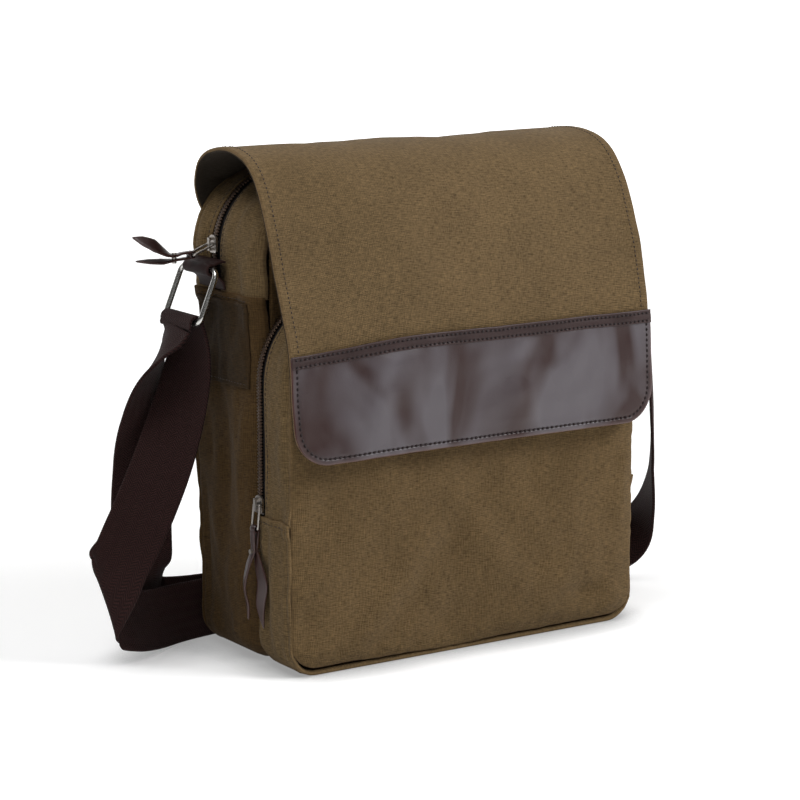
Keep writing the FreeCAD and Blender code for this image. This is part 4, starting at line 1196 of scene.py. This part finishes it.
def webbing(name, route, node):
    """A run of the strap along its route, from start to end."""
    line = spline_points(name + "_line", [stop[0] for stop in route])
    n = len(route)
    spots = np.array([0.0, *[k - 0.5 for k in range(1, n - 1)], n - 2.0])
    u = np.linspace(0, n - 2, len(line))
    across = unit(np.array([stop[1] for stop in route], float))
    spread = np.interp(u, spots, [stop[2] if len(stop) > 2 else 1.0 for stop in route])
    side = np.stack([np.interp(u, spots, across[:, k]) for k in range(3)], -1)
    ahead = unit(np.gradient(line, axis=0))
    slant = ease(np.interp(u, spots, [float(len(stop) > 2) for stop in route]), 0, 1)[:, None]
    square = unit(side - ahead * np.sum(side * ahead, 1, keepdims=True))
    side = unit(square * (1 - slant) + unit(side) * slant)
    up = np.cross(ahead, square)
    width = STRAP_ACROSS
    curl = 0.5 * np.cos(width / STRAP_W * math.pi)
    grid = line[:, None] + side[:, None] * (width[None] * spread[:, None])[..., None]
    grid = grid + up[:, None] * curl[None, :, None]
    grid[..., 2] = np.maximum(grid[..., 2], 0.5)
    walk = walked(line)
    s, w = np.meshgrid(walk, width, indexing="ij")
    edge = STRAP_W / 2 - np.abs(w)
    half = rounded_half(edge, STRAP_T - 0.3 + 0.5 * bell(edge, 1.5, 1.2))
    # the ends are cut square: one more row, a hair further on, closes each
    grid = np.concatenate([grid[:1] - ahead[0] * 0.15, grid, grid[-1:] + ahead[-1] * 0.15])
    half = np.concatenate([half[:1] * 0, half, half[-1:] * 0])
    s, w = (np.concatenate([v[:1], v, v[-1:]]) for v in (s, w))
    made = cloth(Piece(name), grid, half, np.stack([w, s], -1), "webbing").make("strap_webbing")
    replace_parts(made, node)
    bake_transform(made)
    return made


def strap_sleeve(word, side, tilt, first, last, lead=(), tail=()):
    """The webbing's turn round a ring's lower bar, with the short runs that meet the strap."""
    tilt = math.radians(tilt)
    x, z = side * (BAR_X + RING_REACH * math.sin(tilt)), BAR_Z - RING_REACH * math.cos(tilt)
    angles = np.radians(np.linspace(first, last, 25))
    turn = np.stack([x + SLEEVE_R * np.cos(angles), z + SLEEVE_R * np.sin(angles)], -1)
    path = np.array([*lead, *turn, *tail])
    s, w = np.meshgrid(walked(path), STRAP_ACROSS, indexing="ij")
    half = rounded_half(STRAP_W / 2 - np.abs(w), STRAP_T - 0.2)
    half[[0, -1]] = 0.0
    grid = strip_grid(path, STRAP_ACROSS, BAR_Y)
    piece = cloth(Piece(f"strap_sleeve_{word}"), grid, half, np.stack([w, s], -1), "webbing")
    made = piece.make("strap_webbing", f"ring_{word}")
    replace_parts(made, f"strap_loop_{word}")
    return made


def make_strap():
    tail_end = webbing("strap_end_webbing", STRAP_TAIL_END,
                       "strap_tail_end")
    left_sleeve = strap_sleeve("left", -1, 22.5, -12, 192, [(-149.3, 207.6), (-149.5, 209.0)],
                               [(-158.7, 209.0), (-158.9, 207.4)])
    right_sleeve = strap_sleeve("right", 1, 62.0, 40, -300, (),
                                [(175.8, 231.0), (178.6, 230.7), (181.0, 231.4)])
    webbing("strap_right_webbing", STRAP_RIGHT,
            "strap_right")
    webbing("strap_left_webbing", STRAP_LEFT,
            "strap_left")
    webbing("strap_tail_webbing", STRAP_TAIL_UPPER,
            "strap_tail_upper")


make_strap()

# ---- pulls and laces

LACE_W, LACE_T, PULL_REACH = 4.8, 1.5, 15


def leaf(piece, points, widths, across):
    """A flat leather tail along a line, with a width and an across direction at each point."""
    line = smooth_line(points, 8)
    n = len(line)
    t = np.linspace(0, 1, n)
    knots = np.linspace(0, 1, len(points))
    width = np.interp(t, knots, widths) / 2
    side = np.stack([np.interp(t, knots, [w[k] for w in across]) for k in range(3)], -1)
    ahead = unit(np.gradient(line, axis=0))
    side = unit(side - ahead * np.sum(side * ahead, 1, keepdims=True))
    places = np.array([-1, -0.93, -0.75, -0.4, 0, 0.4, 0.75, 0.93, 1])
    grid = line[:, None] + side[:, None] * (places[None] * width[:, None])[..., None]
    edge = (1 - np.abs(places))[None] * width[:, None]
    half = rounded_half(edge, LACE_T)
    half[[0, -1]] = 0
    s = np.repeat(walked(line)[:, None], len(places), 1)
    cloth(piece, grid, half, np.stack([places[None] * width[:, None], s], -1), "lace", rubbed(edge, 0.8, 0.6))


def lace_sleeve(piece, bar):
    """The lace's turn round the pull's far bar."""
    angles = np.radians(np.linspace(0, 360, 25)[:-1])
    radius = 1.1 + 0.7
    places = np.array([-1, -0.85, -0.4, 0, 0.4, 0.85, 1]) * LACE_W / 2
    ring = np.stack([bar[0] + radius * np.cos(angles), bar[2] + radius * np.sin(angles)], -1)
    a, y = np.meshgrid(angles, places, indexing="ij")
    cloth(piece, strip_grid(ring, places, bar[1]), rounded_half(LACE_W / 2 - np.abs(y), 1.4),
          np.stack([y, radius * a], -1), "lace", closed=True)


def make_lace(word, lean, bar, *tails):
    """A lace through a pull: its turn round the bar and two tails, given from the bar out."""
    lean = math.radians(lean)
    bar = np.array([bar[0] - PULL_REACH * math.sin(lean), bar[1], bar[2] - PULL_REACH * math.cos(lean)])
    lace = Piece(f"{word}_lace_leather")
    lace_sleeve(lace, bar)
    for stops in tails:
        places, widths, across = zip(*stops)
        leaf(lace, [bar + place for place in places], widths, across)
    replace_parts(lace.make("lace_leather", f"{word}_lace"), f"{word}_lace")


def make_laces():
    """Each stop of a tail is its place from the bar, its width and the direction across it."""
    flat = (0, 1, 0)
    make_lace(
        "main", 68.0, (-132.65, 31.5, 257),
        [((-0.8, 0, 1.7), 4.8, flat), ((-7, 0, 1.2), 4.6, flat), ((-12, 0, 0.2), 4.6, flat),
         ((-18, -0.5, 2.6), 7.4, (0.2, 0.8, 0.5)), ((-26, -1, 7.5), 9.6, (0.3, 0.6, 0.75)),
         ((-34, -1, 11.0), 7.0, (0.3, 0.6, 0.75)), ((-41, -1, 13.6), 0.8, (0.3, 0.6, 0.75))],
        [((-0.8, 0, -1.7), 4.8, flat), ((-7, 0, -2.2), 4.6, flat), ((-12, 0, -2.4), 4.6, flat),
         ((-20, 0.5, -2.8), 5.4, (0.1, 0.8, 0.5)), ((-29, 1, -2.2), 4.4, (0.1, 0.8, 0.5)),
         ((-38, 1, -1.4), 0.8, (0.1, 0.8, 0.5))])
    make_lace(
        "pocket", 6.0, (-132.65, -21.0, 103),
        [((1.7, 0, -0.6), 4.8, flat), ((0.9, 0, -7), 4.8, flat), ((0.4, 0, -14), 4.6, flat),
         ((0.2, -4.5, -24), 7.2, (-0.2, 1, 0)), ((0.2, -8.0, -34), 8.6, (-0.3, 1, -0.2)),
         ((0.2, -5.5, -47), 7.4, (-0.3, 1, 0)), ((0.2, -9, -61), 0.9, (-0.3, 1, 0))],
        [((-1.7, 0, -0.6), 4.8, flat), ((-1.6, 0, -7), 4.8, flat), ((-1.6, 0, -14), 4.6, flat),
         ((-3.6, 3.0, -24), 6.6, (0.3, 1, 0)), ((-4.6, 5.5, -37), 7.8, (0.5, 1, 0)),
         ((-3.6, 3.5, -48), 6.4, (0.4, 1, 0)), ((-2.6, 4.5, -58), 0.9, (0.3, 1, 0))])


make_laces()

# ---- CAD nodes that stay, and the floor

KEPT = {
    "ring": ("ring_left", "ring_right", "strap_adjuster", "snap_socket", "snap_stud"),
    "slider": ("main_slider", "main_pull", "pocket_slider", "pocket_pull", "main_lace_rivet",
               "pocket_lace_rivet", "main_zip_stops", "pocket_zip_stops"),
}
for key, names in KEPT.items():
    for name in names:
        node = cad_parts[name]
        node.data.materials.clear()
        node.data.materials.append(MATERIALS[key])


def make_floor():
    """A plain pale sweep: the floor and, well behind the bag, the wall it curves up into; near the bag an
    ambient-occlusion node darkens the floor's colour as a painted contact shadow.
    """
    g = Graph("floor")
    speck = g.noise(g.object_space(), 3.0, 2.0, 0.5)
    colour = g.mix(g.spread(speck, 0.3, 0.7, 0.0, 1.0), (0.81, 0.81, 0.81), (0.83, 0.83, 0.83))
    # painted contact shadow: the floor's colour goes dark grey where the bag's foot occludes it
    painted_contact_shadow = g.node("ShaderNodeAmbientOcclusion", {"Distance": 0.035}, samples=8)
    colour = g.mix(g.spread(painted_contact_shadow.outputs["AO"], 0.45, 0.9, 0.0, 1.0), (0.2, 0.2, 0.2), colour)
    material = g.finish(colour, 0.95, Specular_IOR_Level=0.0, Emission_Color=(1, 1, 1, 1))
    split = g.node("ShaderNodeSeparateXYZ")
    g.link(g.object_space(), split.inputs[0])
    g.link(g.spread(split.outputs[1], 0.5, 2.6, 0.3, 0.95), g.shader.inputs["Emission Strength"])
    wide, near, far, radius = 12.0, -14.0, 3.2, 1.5
    profile = [(near, 0.0), (-1.5, 0.0), (far, 0.0)]
    curve = np.radians(np.linspace(6, 90, 15))
    profile += [(far + radius * math.sin(a), radius * (1 - math.cos(a))) for a in curve]
    profile.append((far + radius, 5.0))
    points = [(side * wide, y, z) for y, z in profile for side in (-1, 1)]
    faces = [(k, k + 1, k + 3, k + 2) for k in range(0, len(points) - 2, 2)]
    mesh = bpy.data.meshes.new("floor")
    mesh.from_pydata(points, [], faces)
    mesh.polygons.foreach_set("use_smooth", np.ones(len(faces), bool))
    mesh.materials.append(material)
    floor = bpy.data.objects.new("floor", mesh)
    bpy.context.scene.collection.objects.link(floor)
    floor.rotation_euler = (0, 0, -AZIMUTH)


make_floor()
